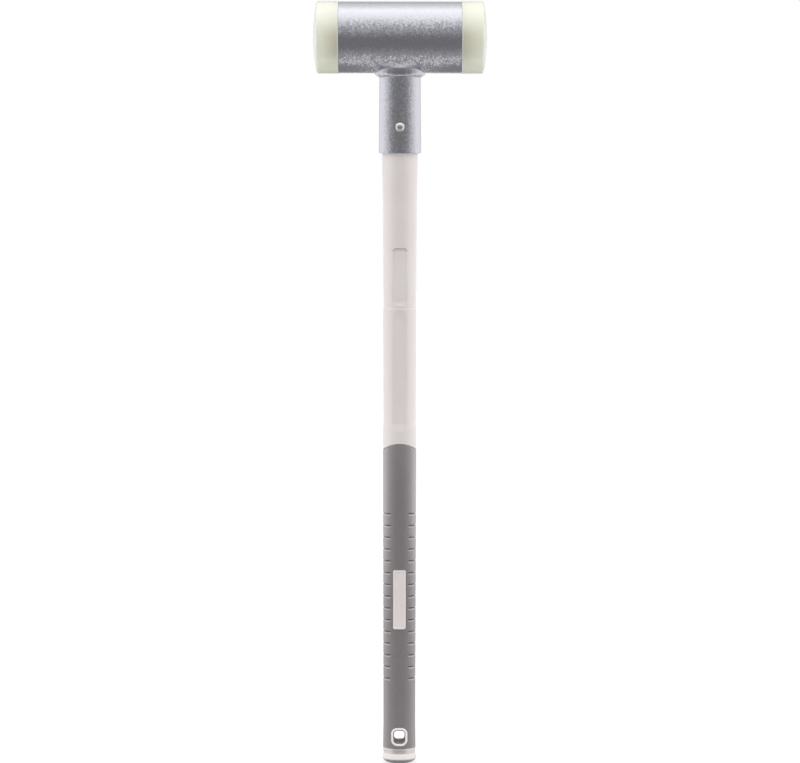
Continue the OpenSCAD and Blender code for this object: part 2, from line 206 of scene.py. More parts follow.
def insert_profile():
    """From the axis at the spigot's end, over the rib and the collar, to the axis at the top of the crown:
    the crown is the cap of a sphere with radius (R^2 + h^2) / 2h, sampled evenly in angle."""
    spigot = SEAT_R - FIT
    ball = (FACE_R ** 2 + CROWN_RISE ** 2) / (2 * CROWN_RISE)
    angle = np.linspace(np.arcsin((FACE_R - FACE_EDGE) / ball), NEAR_POLE, 24)
    crown = np.stack([FACE_TIP - ball + ball * np.cos(angle), ball * np.sin(angle)], -1)
    body = eased(
        [(SPIGOT_IN, 1), (SPIGOT_IN, spigot), (RIB_MID - 2, spigot), (RIB_MID - 1, spigot + RIB_H),
         (RIB_MID + 1, spigot + RIB_H), (RIB_MID + 2, spigot), (TUBE_END + FIT, spigot),
         (TUBE_END + FIT, FACE_R), (crown[0, 0] - 0.35, FACE_R), crown[0]],
        [0, 1.0, 0, 0, 0, 0, 0, 0.35, 2.2, 0],
    )
    return np.vstack([body, crown[1:]])


right_profile = insert_profile()
left_profile = right_profile * np.array([-1, 1])
right_insert = skin("right_striking_face", turned(right_profile, "X", INSERT_AROUND) + at_head)
left_insert = skin("left_striking_face", turned(left_profile, "X", INSERT_AROUND) + at_head)

# %% [markdown]
# ## Neck
# A slightly flared steel tube hangs from the head and takes the handle. Its upper end is coped: cut to lie against
# the round head tube, so its height there depends on the angle. The wall is one closed section, carried round: down
# the outside, round the rim and up the bore. Two small flats are pressed in where the rivet's heads sit, and the rows
# lie closer there.

# %% Neck: cone and cope
RIM_DROP, NECK_TOP_R, NECK_RIM_R, SOCKET_R = 127.5, 22.65, 23.55, 20.1
RIM_Z = HEAD_Z - RIM_DROP
COPE_DROP, RIM_SOFT, BORE_SOFT, NECK_AROUND = 36.0, 1.2, 1.0, 256
RIVET_Z, RIVET_SEAT, RIVET_HEAD_R, RIVET_HEAD_H, RIVET_ZONE = 713.0, 22.67, 4.9, 2.7, 8.0


def neck_radius(z):
    """The cone of the neck's outside: a straight line from the head's axis to the rim."""
    return NECK_TOP_R + (NECK_RIM_R - NECK_TOP_R) * (HEAD_Z - z) / RIM_DROP


def coped_height(radius, angle, clearance=0.05):
    """Where a vertical line at this radius and angle meets the head tube: axis height minus sqrt(R^2 - y^2)."""
    return HEAD_Z - np.sqrt((TUBE_R + clearance) ** 2 - (radius * np.sin(angle)) ** 2)


# %% Neck: mesh
def neck_rings():
    """Rows of points down the outside, round the rim and up the bore, each a full turn of angles. The outside runs
    in three straight parts: to the rivet's zone, through it and on to the rim. Near the rivet's axis |y| is cut
    down to the seat's depth."""
    t = full_turn(NECK_AROUND)[None]
    top = coped_height(neck_radius(HEAD_Z - COPE_DROP), t)
    down = np.concatenate([np.linspace(0, 1, 24)[:-1], 1 + np.linspace(0, 1, 48)[:-1], [2, 2.5, 3]])[:, None]
    part = [np.clip(down - k, 0, 1) for k in range(3)]
    last_drop = RIVET_Z - RIVET_ZONE - RIM_Z - RIM_SOFT
    outside_z = top + (RIVET_Z + RIVET_ZONE - top) * part[0] - 2 * RIVET_ZONE * part[1] - last_drop * part[2]
    rim = eased([(NECK_RIM_R, RIM_Z + RIM_SOFT), (NECK_RIM_R, RIM_Z), (SOCKET_R, RIM_Z),
                 (SOCKET_R, RIM_Z + BORE_SOFT)], [0, 0.9, 0.4, 0])[1:]
    bore_from = RIM_Z + BORE_SOFT
    bore_z = bore_from + (coped_height(SOCKET_R, t) - bore_from) * np.linspace(0, 1, 6)[1:, None]
    z = np.vstack([outside_z, np.repeat(rim[:, 1:], NECK_AROUND, 1), bore_z])
    r = np.vstack([neck_radius(outside_z), np.repeat(rim[:, :1], NECK_AROUND, 1), np.full_like(bore_z, SOCKET_R)])
    x, y = r * np.cos(t), r * np.sin(t)
    seat = 1 - smooth_step(RIVET_HEAD_R + 0.1, RIVET_HEAD_R + 0.6, np.hypot(x, z - RIVET_Z))
    seat[len(outside_z):] = 0
    y = np.where(np.abs(y) > RIVET_SEAT, y + seat * (np.sign(y) * RIVET_SEAT - y), y)
    return np.stack([x, y, z], -1)


neck_socket = skin("neck_tube", neck_rings(), loop=True)

# %% [markdown]
# ## Weld collar
# The joint of neck and head is a fillet of weld that was dressed and painted over. It begins on the neck in one
# level edge, swells into a rounded bead and turns in again to meet the head tube. Along the head it ends in a blunt
# tip below the tube. At the front and the back it stands up higher, and a thin wash of weld runs on over the tube and
# thins out. Both sections are cubic curves with four control points, and the sections in between blend those points.

# %% Weld collar
SIDE_SECTION = np.array([(22.95, -44.4), (25.5, -42.9), (28.6, -41.3), (28.2, -39.48)])
FRONT_SECTION = np.array([(22.95, -42.4), (25.2, -40.0), (24.9, -38.0), (24.7, -34.0)])
BEAD_WAVE, WASH_H, WASH_L, SUNK, WELD_AROUND = 0.10, 2.0, 9.0, 0.2, 240


def collar_rings():
    """A section at angle t is the cubic through blended control points (1 - w) side + w front, w = sin(t)^2. Its
    last point lies on the head tube, or over it by the wash's thickness (H + s) sin(t)^4 - s. Slow sines of
    unrelated counts move the bead. The wash goes on outwards and thins with (1 - u)^1.5 until it has sunk by s into
    the tube, and at that depth the section closes behind."""
    t = full_turn(WELD_AROUND)
    s = np.linspace(0, 1, 22)[:, None]
    w = np.sin(t)[:, None, None] ** 2
    points = (1 - w) * SIDE_SECTION + w * FRONT_SECTION
    thick = (WASH_H + SUNK) * np.sin(t) ** 4 - SUNK
    points[:, 3, 1] = coped_height(points[:, 3, 0], t, np.maximum(thick, 0)) - HEAD_Z
    weight = np.hstack([(1 - s) ** 3, 3 * s * (1 - s) ** 2, 3 * s * s * (1 - s), s ** 3])
    bead = np.einsum("sk,tkc->stc", weight, points)
    wave = BEAD_WAVE * (np.sin(9 * t + 2 * np.sin(2 * t)) + 0.7 * np.sin(23 * t + 1)) * np.sin(np.pi * s) ** 2
    r, z = bead[..., 0] + wave, bead[..., 1] - 0.6 * wave + HEAD_Z
    u = np.linspace(0, 1, 13)[1:, None]
    wash_r = r[-1] + WASH_L * u
    wash_z = coped_height(wash_r, t, (thick + SUNK) * (1 - u) ** 1.5 - SUNK)
    back_r = wash_r[-1] + (r[0] - wash_r[-1]) * np.linspace(0, 1, 6)[1:, None]
    r, z = np.vstack([r, wash_r, back_r]), np.vstack([z, wash_z, coped_height(back_r, t, -SUNK)])
    return np.stack([r * np.cos(t), r * np.sin(t), z], -1)


weld_collar = skin("weld_bead", collar_rings(), loop=True)

# %% [markdown]
# ## Rivet
# One round-headed rivet goes through the neck and the handle. Its two heads are low domes on a short shank, so a
# single profile along Y, from the top of one head to the top of the other, turns into the whole rivet.

# %% Rivet
RIVET_R, RIVET_EDGE, DOME_POWER, RIVET_AROUND = 3.0, 0.4, 2.2, 96


def rivet_profile():
    """Half the outline is the shank, the seat, a low edge and a dome, whose height over the edge falls with
    (r / R)^2.2; the other half is the same, reversed."""
    r = np.linspace(1, 0.01, 26)
    dome = RIVET_SEAT + RIVET_EDGE + (RIVET_HEAD_H - RIVET_EDGE) * (1 - r ** DOME_POWER)
    cap = np.stack([dome, RIVET_HEAD_R * r], -1)
    half = np.vstack([[[RIVET_SEAT, RIVET_R]], [[RIVET_SEAT, RIVET_HEAD_R - 0.1]], cap])
    return np.vstack([half[::-1] * np.array([-1, 1]), half])


handle_rivet = skin("rivet", turned(rivet_profile(), "Y", RIVET_AROUND) + np.array([0, 0, RIVET_Z]))

# %% [markdown]
# ## The oval handle
# Sleeve, grip and butt share one oval, whose width is known at a few heights and runs straight between them. The
# columns of the grid are not spread evenly: two of them on the front and two on the back fall on the edges of the
# hanging hole, so that the hole can be left out of the grid as a window.

# %% The handle's oval
OVAL_RATIO = 0.78
STATION_Z = [0, 11.6, 46.6, 189.2, 332.5, 378.0, 383.0, 511.2, 511.9, 631.5, 683.5]
STATION_W = [36.7, 36.7, 35.7, 36.4, 37.2, 37.2, 36.1, 37.2, 36.3, 37.7, 39.8]
HOLE_Z, WINDOW_X, WINDOW_Z = 30.6, 7.2, 8.7
FRONT_COLS, SIDE_COLS = 40, 46
ARCH_Z, ARCH_R, JOINT_HALF = 332.5, 28.5, 0.3


def half_width(z):
    """Half the handle's width at a height, straight between the stations."""
    return np.interp(z, STATION_Z, STATION_W) / 2


def oval_angles():
    """Angles of the columns: evenly spread over the front, right, back and left, which meet at the window edges."""
    edge = np.arccos(WINDOW_X / half_width(HOLE_Z))
    turns = [(-np.pi + edge, -edge, FRONT_COLS), (-edge, edge, SIDE_COLS),
             (edge, np.pi - edge, FRONT_COLS), (np.pi - edge, np.pi + edge, SIDE_COLS)]
    return np.concatenate([np.linspace(a, b, n, endpoint=False) for a, b, n in turns])


def arch_height(x):
    """The arched edge between sleeve and grip: a circle in X and Z, carried straight through."""
    return ARCH_Z + np.sqrt(ARCH_R ** 2 - x ** 2)


ANGLES = oval_angles()
COLUMNS = len(ANGLES)
FRONT_WINDOW = (0, FRONT_COLS)
BACK_WINDOW = (FRONT_COLS + SIDE_COLS, 2 * FRONT_COLS + SIDE_COLS)
ARCH_EDGE = arch_height(half_width(ARCH_Z) * np.cos(ANGLES))[None]
print("columns:", COLUMNS, "arch from", round(ARCH_EDGE.min(), 1), "to", round(ARCH_EDGE.max(), 1))


# %% Rows of the oval
def oval_points(z, grow):
    """Points of the oval at heights z (rows x columns), its half axes grown by grow."""
    a = half_width(z) + grow
    b = half_width(z) * OVAL_RATIO + grow
    return np.stack([a * np.cos(ANGLES), b * np.sin(ANGLES), z], -1)


def level(heights):
    """The same height in every column of a row."""
    return np.repeat(np.asarray(heights, float)[:, None], COLUMNS, 1)


def row_at(z, height):
    """The number of the row that lies nearest to a height."""
    return int(np.argmin(np.abs(z[:, 0] - height)))


# %% [markdown]
# ## Handle sleeve
# The pale moulding is the handle's body. From the top it is a round tang inside the neck, a shoulder that runs into
# the oval, a scooped recess, a long band with a flat front and back, and then a thinner seat under the soft grip,
# which ends in an arch. It could be cut with Booleans, but recesses that are pressed into a grid keep their edges
# soft and their shading clean. Each recess is a depth that is taken off the front and the back.

# %% Handle sleeve: recesses
FLAT_Z, FLAT_Y = [374.0, 375.0, 383.0, 503.0, 510.4, 511.2], [14.73, 14.51, 12.77, 13.21, 14.50, 15.8]
SCOOP_LOW, SCOOP_HIGH, SCOOP_HALF, SCOOP_FLOOR = 515.0, 579.0, 7.5, 12.58
SCOOP_LOW_R, SCOOP_WALL, SCOOP_TOP_WALL, SCOOP_CORNER = 11.0, 0.5, 0.12, 2.2
SCOOP_RISE, SCOOP_DIP, DIP_LENGTH = 1.7, 1.6, 6.0
EDGE_SOFT, NO_RECESS = 0.06, 90


def soft_least(a, b, soft=EDGE_SOFT):
    """The lesser of two depths with a rounded edge between them: -k log(exp(-a / k) + exp(-b / k))."""
    return -soft * np.logaddexp(-a / soft, -b / soft)


def run_out(distance, radius, rise):
    """Height above a floor, at a distance outside the edge where an arc of this radius has come up by rise:
    r - sqrt(r^2 - d^2), with d counted from where the arc leaves the floor."""
    length = np.sqrt(radius ** 2 - (radius - rise) ** 2)
    along = np.clip(distance + length, 0, 0.95 * radius)
    return radius - np.sqrt(radius ** 2 - along ** 2)


def pressed(points):
    """Takes the flat band and the scoop off the front and the back: |y| is held to each floor's depth. The band's
    floor is straight between given heights; the scoop's runs out in an arc at its foot, and short walls end it at
    each side and at its top, whose corners are rounded and where the floor dips a little."""
    x, y, z = np.moveaxis(points, -1, 0)
    flat = np.interp(z, FLAT_Z, FLAT_Y, left=NO_RECESS, right=NO_RECESS)
    foot = run_out(SCOOP_LOW - z, SCOOP_LOW_R, SCOOP_RISE)
    edge = SCOOP_HIGH - SCOOP_CORNER * smooth_step(0.6 * SCOOP_HALF, SCOOP_HALF, np.abs(x)) ** 2
    top = np.clip(z - edge, 0, None) / SCOOP_TOP_WALL - SCOOP_DIP * smooth_step(edge - DIP_LENGTH, edge, z)
    wall = np.clip(np.abs(x) - SCOOP_HALF, 0, None) / SCOOP_WALL
    inside = (z > SCOOP_LOW - 3) & (z < SCOOP_HIGH + 1.5)
    scoop = np.where(inside, SCOOP_FLOOR + foot + top + wall, NO_RECESS)
    deep = soft_least(soft_least(np.abs(y), flat), scoop)
    deep = np.where(np.abs(y) < 1, np.abs(y), deep)
    return np.stack([x, np.sign(y) * deep, z], -1)


# %% Handle sleeve: rows
SEAT_DEPTH, SEAT_FROM, SHOULDER_Z = 2.5, 48.0, 631.5
FOOT_ROWS = [(11.65, -0.8), (12.0, -0.5), (14.2, -0.3), (14.4, -0.7), (14.6, -0.8), (14.8, -0.7), (15.0, -0.2),
             (17.0, -0.05), (17.35, -0.25)]
LIP_ROWS = [(0.0, -0.7), (0.05, -0.3), (0.15, -0.1), (0.35, -0.02), (0.7, 0)]
SHANK_ROWS = [(373.5, 385, 47), (385, 509, 30), (509, 511.4, 37), (511.4, 524, 54), (524, 572, 22),
              (572, 580.5, 56), (580, SHOULDER_Z, 10), (SHOULDER_Z, RIM_Z, 24)]


def sleeve_rows():
    """Heights and growths of the rows, from the foot up: the foot with its fine line, the seat under the grip up to
    the arch, the lip of the arch, and the shank with closer rows where a recess begins or ends."""
    foot_z, foot_grow = np.transpose(FOOT_ROWS)
    over_arch, lip_grow = np.transpose(LIP_ROWS)
    seat_fixed = [foot_z[-1] + 0.02, HOLE_Z - WINDOW_Z, HOLE_Z, HOLE_Z + WINDOW_Z]
    seat_part = np.linspace(0, 1, 30)[:, None] ** 0.8
    seat_z = np.vstack([level(seat_fixed), SEAT_FROM + (ARCH_EDGE - SEAT_FROM) * seat_part])
    lip_z = ARCH_EDGE + JOINT_HALF + over_arch[:, None]
    shank = np.unique(np.concatenate([np.linspace(*part) for part in SHANK_ROWS]))
    ramp_z = lip_z[-1] + (shank[0] - lip_z[-1]) * np.linspace(0, 1, 13)[1:-1, None]
    z = np.vstack([level(foot_z), seat_z, lip_z, ramp_z, level(shank)])
    grow = np.concatenate([foot_grow, np.full(len(seat_z), -SEAT_DEPTH), lip_grow,
                           np.zeros(len(ramp_z) + len(shank))])
    return z, grow[:, None]


# %% Handle sleeve: shoulder and tang
TANG_TOP, TANG_R = 769.5, 20.05
ROUND_FROM, ROUND_TO = SHOULDER_Z - 4, RIM_Z + 6


def round_off(points):
    """Turns the oval into a circle over the shoulder: y is stretched so that depth meets width at the rim."""
    x, y, z = np.moveaxis(points, -1, 0)
    turn = smooth_step(ROUND_FROM, ROUND_TO, z) / smooth_step(ROUND_FROM, ROUND_TO, RIM_Z)
    return np.stack([x, y * (1 + turn * (1 / OVAL_RATIO - 1)), z], -1)


sleeve_z, sleeve_grow = sleeve_rows()
body = round_off(pressed(oval_points(sleeve_z, sleeve_grow)))
tang_z = level([RIM_Z + 0.3, TANG_TOP - 1.5, TANG_TOP - 0.4, TANG_TOP])
tang_r = np.array([[TANG_R], [TANG_R], [TANG_R - 0.4], [TANG_R - 1.5]])
tang = np.stack([tang_r * np.cos(ANGLES), tang_r * np.sin(ANGLES), tang_z], -1)
print("sleeve rows:", len(body), "and tang rows:", len(tang))


# %% Handle sleeve: mesh
def window_edge(ids, low, high, cols):
    """Point numbers round a window of a grid: along its low row, up its last column, back along its high row and
    down its first column."""
    rows = np.arange(low + 1, high)
    return np.concatenate([ids[low, cols], ids[rows, cols[-1]], ids[high, cols[::-1]], ids[rows[::-1], cols[0]]])


def with_tunnel(name, rings, low, high):
    """A capped stack of rings with a straight tunnel from front to back between two rows. The faces inside the
    front and back windows are left out, and each edge of the front window is joined to its mirror at the back."""
    ids = numbered(rings)
    keep = np.ones((len(ids) - 1, COLUMNS), bool)
    keep[low:high, slice(*FRONT_WINDOW)] = False
    keep[low:high, slice(*BACK_WINDOW)] = False
    cols = np.arange(FRONT_WINDOW[0], FRONT_WINDOW[1] + 1)
    front = window_edge(ids, low, high, cols)
    back = window_edge(ids, low, high, BACK_WINDOW[1] - cols)
    wall = np.stack([front, np.roll(front, -1), np.roll(back, -1), back], -1)
    points, ends = capped(rings, ids)
    return piece(name, points, np.vstack([cells(ids)[keep], wall]), ends)


hole_row = row_at(sleeve_z, HOLE_Z - WINDOW_Z)
handle_sleeve = with_tunnel("sleeve_moulding", np.concatenate([body, tang]), hole_row, hole_row + 2)

# %% [markdown]
# ## Soft grip
# A grey rubber-like layer is moulded over the lower half of the sleeve, flush with it at the arch. Fifteen short
# grooves on each side give it hold, each with a low lip under it. The layer is two grids, the outside and the inside,
# and the grooves are a depth that only the outside loses, far enough from the middle. The windows of both grids are
# joined by a wall. The finish paints shade into the hollows and a highlight onto the lips, so the mesh keeps both as
# attributes.

# %% Soft grip: rows
GRIP_T, HOLE_ROWS = 2.45, 9
GROOVES, GROOVE_PITCH, GROOVE_LOW = 15, 13.27, 96.8
GRIP_FOOT_ROWS = [(17.4, -0.45), (17.5, -0.18), (17.75, -0.04), (18.2, 0)]
GRIP_TOP_ROWS = [(0.35, -0.02), (0.15, -0.1), (0.05, -0.3), (0.0, -0.7)]
GROOVE_ROWS = np.array([-2.5, -2.1, -1.8, -1.5, -1.2, -0.9, -0.4, 0.1, 0.45, 0.62, 0.8, 0.98, 1.2, 5.5])
groove_z = GROOVE_LOW + GROOVE_PITCH * np.arange(GROOVES)


def grip_rows():
    """Heights and edge growths: close rows at both edges and across each groove, and the arch at the top."""
    foot_z, foot_grow = np.transpose(GRIP_FOOT_ROWS)
    under_arch, top_grow = np.transpose(GRIP_TOP_ROWS)
    below = np.concatenate([[20.5], HOLE_Z + WINDOW_Z * np.linspace(-1, 1, HOLE_ROWS), np.linspace(44, 92, 12)])
    fixed = np.concatenate([foot_z, below, (groove_z[:, None] + GROOVE_ROWS).ravel()])
    up_z = fixed[-1] + (ARCH_EDGE - JOINT_HALF - 0.7 - fixed[-1]) * np.linspace(0, 1, 16)[1:, None]
    z = np.vstack([level(fixed), up_z, ARCH_EDGE - JOINT_HALF - under_arch[:, None]])
    grow = np.concatenate([foot_grow, np.zeros(len(fixed) - len(foot_z) + len(up_z)), top_grow])
    return z, grow[:, None]


grip_z, grip_grow = grip_rows()
print("grip rows:", len(grip_z), "grooves from", groove_z[0], "to", round(groove_z[-1], 1))

# %% Soft grip: grooves
GROOVE_DEPTH, GROOVE_FOOT, GROOVE_RUN, WALL_FROM, WALL_TO = 1.7, -1.2, 1.5, 0.5, 0.95
LIP_PROUD, LIP_AT, LIP_WIDE = 0.25, -1.5, 0.5
GROOVE_START, START_RUN, GROOVE_FADE, FADE_RUN, FADE_LOSS = 9.9, 0.7, 16.2, 1.6, 0.6


def groove_marks(points):
    """The depth and the lip of the grooves, both from 0 to 1. With d the height over the nearest groove, the depth
    grows slowly from d = -1.2 and ends in a steep upper wall below d = 1, and the lip is a bell round d = -1.5. Both
    begin away from the middle and get weaker round the side."""
    x, y, z = np.moveaxis(points, -1, 0)
    order = np.clip(np.round((z - groove_z[0]) / GROOVE_PITCH), 0, GROOVES - 1)
    d = z - groove_z[0] - GROOVE_PITCH * order
    there = smooth_step(GROOVE_START, GROOVE_START + START_RUN, np.abs(x))
    there = there * (1 - FADE_LOSS * smooth_step(GROOVE_FADE, GROOVE_FADE + FADE_RUN, np.abs(x)))
    deep = np.clip((d - GROOVE_FOOT) / GROOVE_RUN, 0, 1) * (1 - smooth_step(WALL_FROM, WALL_TO, d))
    return deep * there, np.exp(-((d - LIP_AT) / LIP_WIDE) ** 2) * there


def grooved(points):
    """Presses the grooves in and raises their lips, along the oval's normal (x / a^2, y / b^2)."""
    x, y, z = np.moveaxis(points, -1, 0)
    deep, lip = groove_marks(points)
    deep = GROOVE_DEPTH * deep - LIP_PROUD * lip
    a = half_width(z)
    nx, ny = x / a ** 2, y / (a * OVAL_RATIO) ** 2
    size = np.hypot(nx, ny)
    return np.stack([x - deep * nx / size, y - deep * ny / size, z], -1)


# %% Soft grip: mesh
def shell(name, outer, inner, low, high):
    """A closed layer between two grids of equal size, with front and back windows between two rows. Both ends and
    the windows' edges are joined by walls, so the layer encloses a volume."""
    ids = numbered(outer)
    keep = np.ones((len(ids) - 1, COLUMNS), bool)
    rounds = [ids[0][::-1], ids[-1]]
    for first, last in (FRONT_WINDOW, BACK_WINDOW):
        keep[low:high, first:last] = False
        rounds.append(window_edge(ids, low, high, np.arange(first, last + 1)))
    edges = np.vstack([np.stack([ring, np.roll(ring, -1)], -1) for ring in rounds])
    wall = np.hstack([edges, edges[:, ::-1] + ids.size])
    faces = cells(ids)[keep]
    return piece(name, np.vstack([outer.reshape(-1, 3), inner.reshape(-1, 3)]),
                 np.vstack([faces, faces[:, ::-1] + ids.size, wall]))


def mark(made, label, values):
    """Keeps one value per point in the mesh, under a name that a finish can read."""
    made.data.attributes.new(label, "FLOAT", "POINT").data.foreach_set("value", values)


plain_oval = oval_points(grip_z, grip_grow)
hole_row = row_at(grip_z, HOLE_Z - WINDOW_Z)
soft_grip = shell("grip_layer", grooved(plain_oval), oval_points(grip_z, -GRIP_T), hole_row,
                  hole_row + HOLE_ROWS - 1)
# the groove depth drives painted shade and the lip mark a painted highlight in the finish
for label, found in zip(("hollow_shade", "lit_lip"), groove_marks(plain_oval)):
    mark(soft_grip, label, np.concatenate([found.ravel(), np.zeros(found.size)]))

# %% [markdown]
# ## Hanging hole: lining and frames
# The hole near the butt is lined with the grip's own rubber and framed in pale plastic on both faces. All three are
# one outline, a rectangle with round corners, that carries a section along it: a plain wall for the lining, and a
# low rounded band for a frame. A frame begins a little outside the lining's edge, so a thin ring of rubber shows
# inside it. The outline lies slightly higher than the middle of the window that it fills. The depths are measured
# from the oval, so both follow the curved handle.

# %% Hanging hole
HOLE_HALF_X, HOLE_HALF_Z, HOLE_R, HOLE_RISE = 5.9, 7.0, 3.6, 0.4
FRAME_IN, FRAME_OUT, FRAME_PROUD, FRAME_ROOT, FRAME_SOFT = 0.8, 3.25, 0.95, -1.2, 1.1
LINING_T, LINING_SUNK, LINING_SHADE = 2.25, 0.3, 0.61


def round_corners(half_x, half_z, radius, steps):
    """The corners of a rectangle one after the other: the centres of their arcs and the angles along them."""
    angle = np.radians(np.concatenate([np.linspace(q, q + 90, steps) for q in (0, 90, 180, 270)]))
    x = np.repeat([1, -1, -1, 1], steps) * (half_x - radius)
    z = np.repeat([1, 1, -1, -1], steps) * (half_z - radius)
    return x, z, angle


def hole_outline(offset):
    """A rectangle with round corners, grown by offset (rows): corner centres plus (r + offset) times the normal."""
    x, z, angle = round_corners(HOLE_HALF_X, HOLE_HALF_Z, HOLE_R, 16)
    reach = HOLE_R + np.asarray(offset, float)[:, None]
    return x + reach * np.cos(angle), HOLE_Z + HOLE_RISE + z + reach * np.sin(angle)


def face_depth(x, z):
    """How far the handle's surface lies in front of its middle: b sqrt(1 - (x / a)^2)."""
    a = half_width(z)
    return a * OVAL_RATIO * np.sqrt(np.clip(1 - (x / a) ** 2, 0, 1))


lining_x, lining_z = hole_outline([0, 0, 0, LINING_T, LINING_T, LINING_T])
lining_y = np.array([-1, 0, 1, 1, 0, -1])[:, None] * (face_depth(lining_x, lining_z) - LINING_SUNK)
hole_lining = skin("hole_lining", np.stack([lining_x, lining_y, lining_z], -1), loop=True)
# painted shade inside the hole
mark(hole_lining, "hollow_shade", np.full(lining_x.size, LINING_SHADE))

frame_section = eased([(FRAME_IN, FRAME_ROOT), (FRAME_IN, FRAME_PROUD), (FRAME_OUT, FRAME_PROUD),
                       (FRAME_OUT, FRAME_ROOT)], [0, FRAME_SOFT, FRAME_SOFT, 0], 9)
frame_x, frame_z = hole_outline(frame_section[:, 0])
frame_depth = face_depth(frame_x, frame_z) + frame_section[:, 1:]
eyelet_front = skin("hole_frame_front", np.stack([frame_x, -frame_depth, frame_z], -1), loop=True)
eyelet_rear = skin("hole_frame_rear", np.stack([frame_x, frame_depth, frame_z], -1), loop=True)

# %% [markdown]
# ## Badge plate
# A bare pale plate is set into the front of the grip. It is a stack of outlines, each a rectangle with round
# corners: the wall grows out of the grip, a narrow rim stands a little over the panel, and the last outlines shrink
# towards the middle line of the plate, so that its face bends with the oval and stays smooth.

# %% Badge plate
BADGE_Z, BADGE_HALF_X, BADGE_HALF_Z, BADGE_R, BADGE_ROOT = 186.4, 7.0, 33.2, 1.7, -1.2
RIM_PROUD, PANEL_PROUD = 0.7, 0.15
PANEL_INSETS = [4.4, 5.4, 6.4, BADGE_HALF_X]


def finer(rows, parts):
    """Closed rows with each step between neighbours cut into equal parts: v + (next - v) k / parts."""
    step = np.roll(rows, -1, 1) - rows
    return (rows[..., None] + step[..., None] * (np.arange(parts) / parts)).reshape(len(rows), -1)


def badge_rings():
    """Rings of the plate: (inset, height) pairs from the wall over the rim and down to the panel's middle. An outline
    inset by d shrinks towards the plate's own middle line; heights are measured from the grip's surface."""
    edge = eased([(0, BADGE_ROOT), (0, RIM_PROUD), (1.6, RIM_PROUD), (2.15, PANEL_PROUD), (3.5, PANEL_PROUD)],
                 [0, 0.4, 0.25, 0.2, 0])
    inset = np.concatenate([edge[:, 0], PANEL_INSETS])[:, None]
    height = np.concatenate([edge[:, 1], np.full(len(PANEL_INSETS), PANEL_PROUD)])[:, None]
    x, z, angle = round_corners(BADGE_HALF_X, BADGE_HALF_Z, BADGE_R, 8)
    x, z = x + BADGE_R * np.cos(angle), z + BADGE_R * np.sin(angle)
    x, z = finer(x * (1 - inset / BADGE_HALF_X), 8), finer(BADGE_Z + z - np.sign(z) * inset, 8)
    return np.stack([x, -(face_depth(x, z) + height), z], -1)


grip_badge = skin("badge_plate", badge_rings())

# %% [markdown]
# ## Butt
# The handle ends in a pale cap with a rounded foot. It is the handle's oval again: a turned profile that is pressed
# flat by the oval's ratio. A quarter of an ellipse rounds its foot, and a fine groove parts it from the sleeve.

# %% Butt
FOOT_H, FOOT_FLAT, FOOT_ROUND, BUTT_TOP, BUTT_AXIS = 6.2, 9.0, 9.8, 11.6, 0.5
turn = np.linspace(0, np.pi / 2, 22)
foot = np.stack([FOOT_H * (1 - np.cos(turn)), FOOT_FLAT + FOOT_ROUND * np.sin(turn)], -1)
flank = eased([(FOOT_H, FOOT_FLAT + FOOT_ROUND), (11.0, 18.0), (BUTT_TOP, 17.4), (BUTT_TOP, BUTT_AXIS)],
              [0, 0.3, 0.2, 0])
butt_profile = np.vstack([[[0.0, BUTT_AXIS]], foot, flank[1:]])
butt_cap = skin("butt_end", turned(butt_profile, "Z", 192) * np.array([1, OVAL_RATIO, 1]))

# %% [markdown]
# ## Shared shader effects
# Some effects come back in several finishes. A fine grain gives a height for bump and a random fleck per grain, and
# slow blotches give the gentle unevenness that every moulded or painted surface has. Flakes lean the normal a few
# degrees, another way in each small cell. A mask for the handle's narrow sides, where painted light and a painted
# sheen brighten the colour, comes from the piece's own normal and so stays in its place in every view. Each effect is
# one node group with its own inputs, so a material only places it and sets the values.

# %% Node helpers
def builder(tree):
    """A function that adds a node to this tree, sets its properties, and fills or links its inputs by name."""
    def add(kind, inputs=(), **settings):
        node = tree.nodes.new(kind)
        for key, value in settings.items():
            setattr(node, key, value)
        for socket, value in dict(inputs).items():
            if isinstance(value, bpy.types.NodeSocket):
                tree.links.new(value, node.inputs[socket])
            else:
                node.inputs[socket].default_value = value
        return node
    return add


def group(name, inputs, outputs):
    """An empty node group with float or vector inputs and outputs."""
    tree = bpy.data.node_groups.new(name, "ShaderNodeTree")
    for label, kind in inputs:
        tree.interface.new_socket(label, in_out="INPUT", socket_type=kind)
    for label, kind in outputs:
        tree.interface.new_socket(label, in_out="OUTPUT", socket_type=kind)
    add = builder(tree)
    return tree, add, add("NodeGroupInput").outputs, add("NodeGroupOutput")


# %% Colour and value helpers
def between(add, factor, low, high):
    """A colour that runs from low to high with a factor; each is three numbers or another node's colour."""
    low, high = ((*end, 1) if isinstance(end, tuple) else end for end in (low, high))
    return add("ShaderNodeMix", {0: factor, 6: low, 7: high}, data_type="RGBA").outputs[2]


def towards(add, factor, low, high):
    """A value that runs from low to high with a factor."""
    return add("ShaderNodeMix", {0: factor, 2: low, 3: high}, data_type="FLOAT").outputs[0]


def ramp(add, value, start, end, low=0.0, high=1.0, kind="LINEAR"):
    """Carries a value from start..end to low..high, and holds it beyond both ends."""
    return add("ShaderNodeMapRange", {"Value": value, "From Min": start, "From Max": end, "To Min": low,
                                      "To Max": high}, interpolation_type=kind).outputs["Result"]


def spread(add, value, low, high):
    """Carries a value from 0..1 to low..high."""
    return ramp(add, value, 0.0, 1.0, low, high)


def maths(add, operation, a, b=0.0):
    """One step of arithmetic on one or two values."""
    return add("ShaderNodeMath", {0: a, 1: b}, operation=operation).outputs[0]


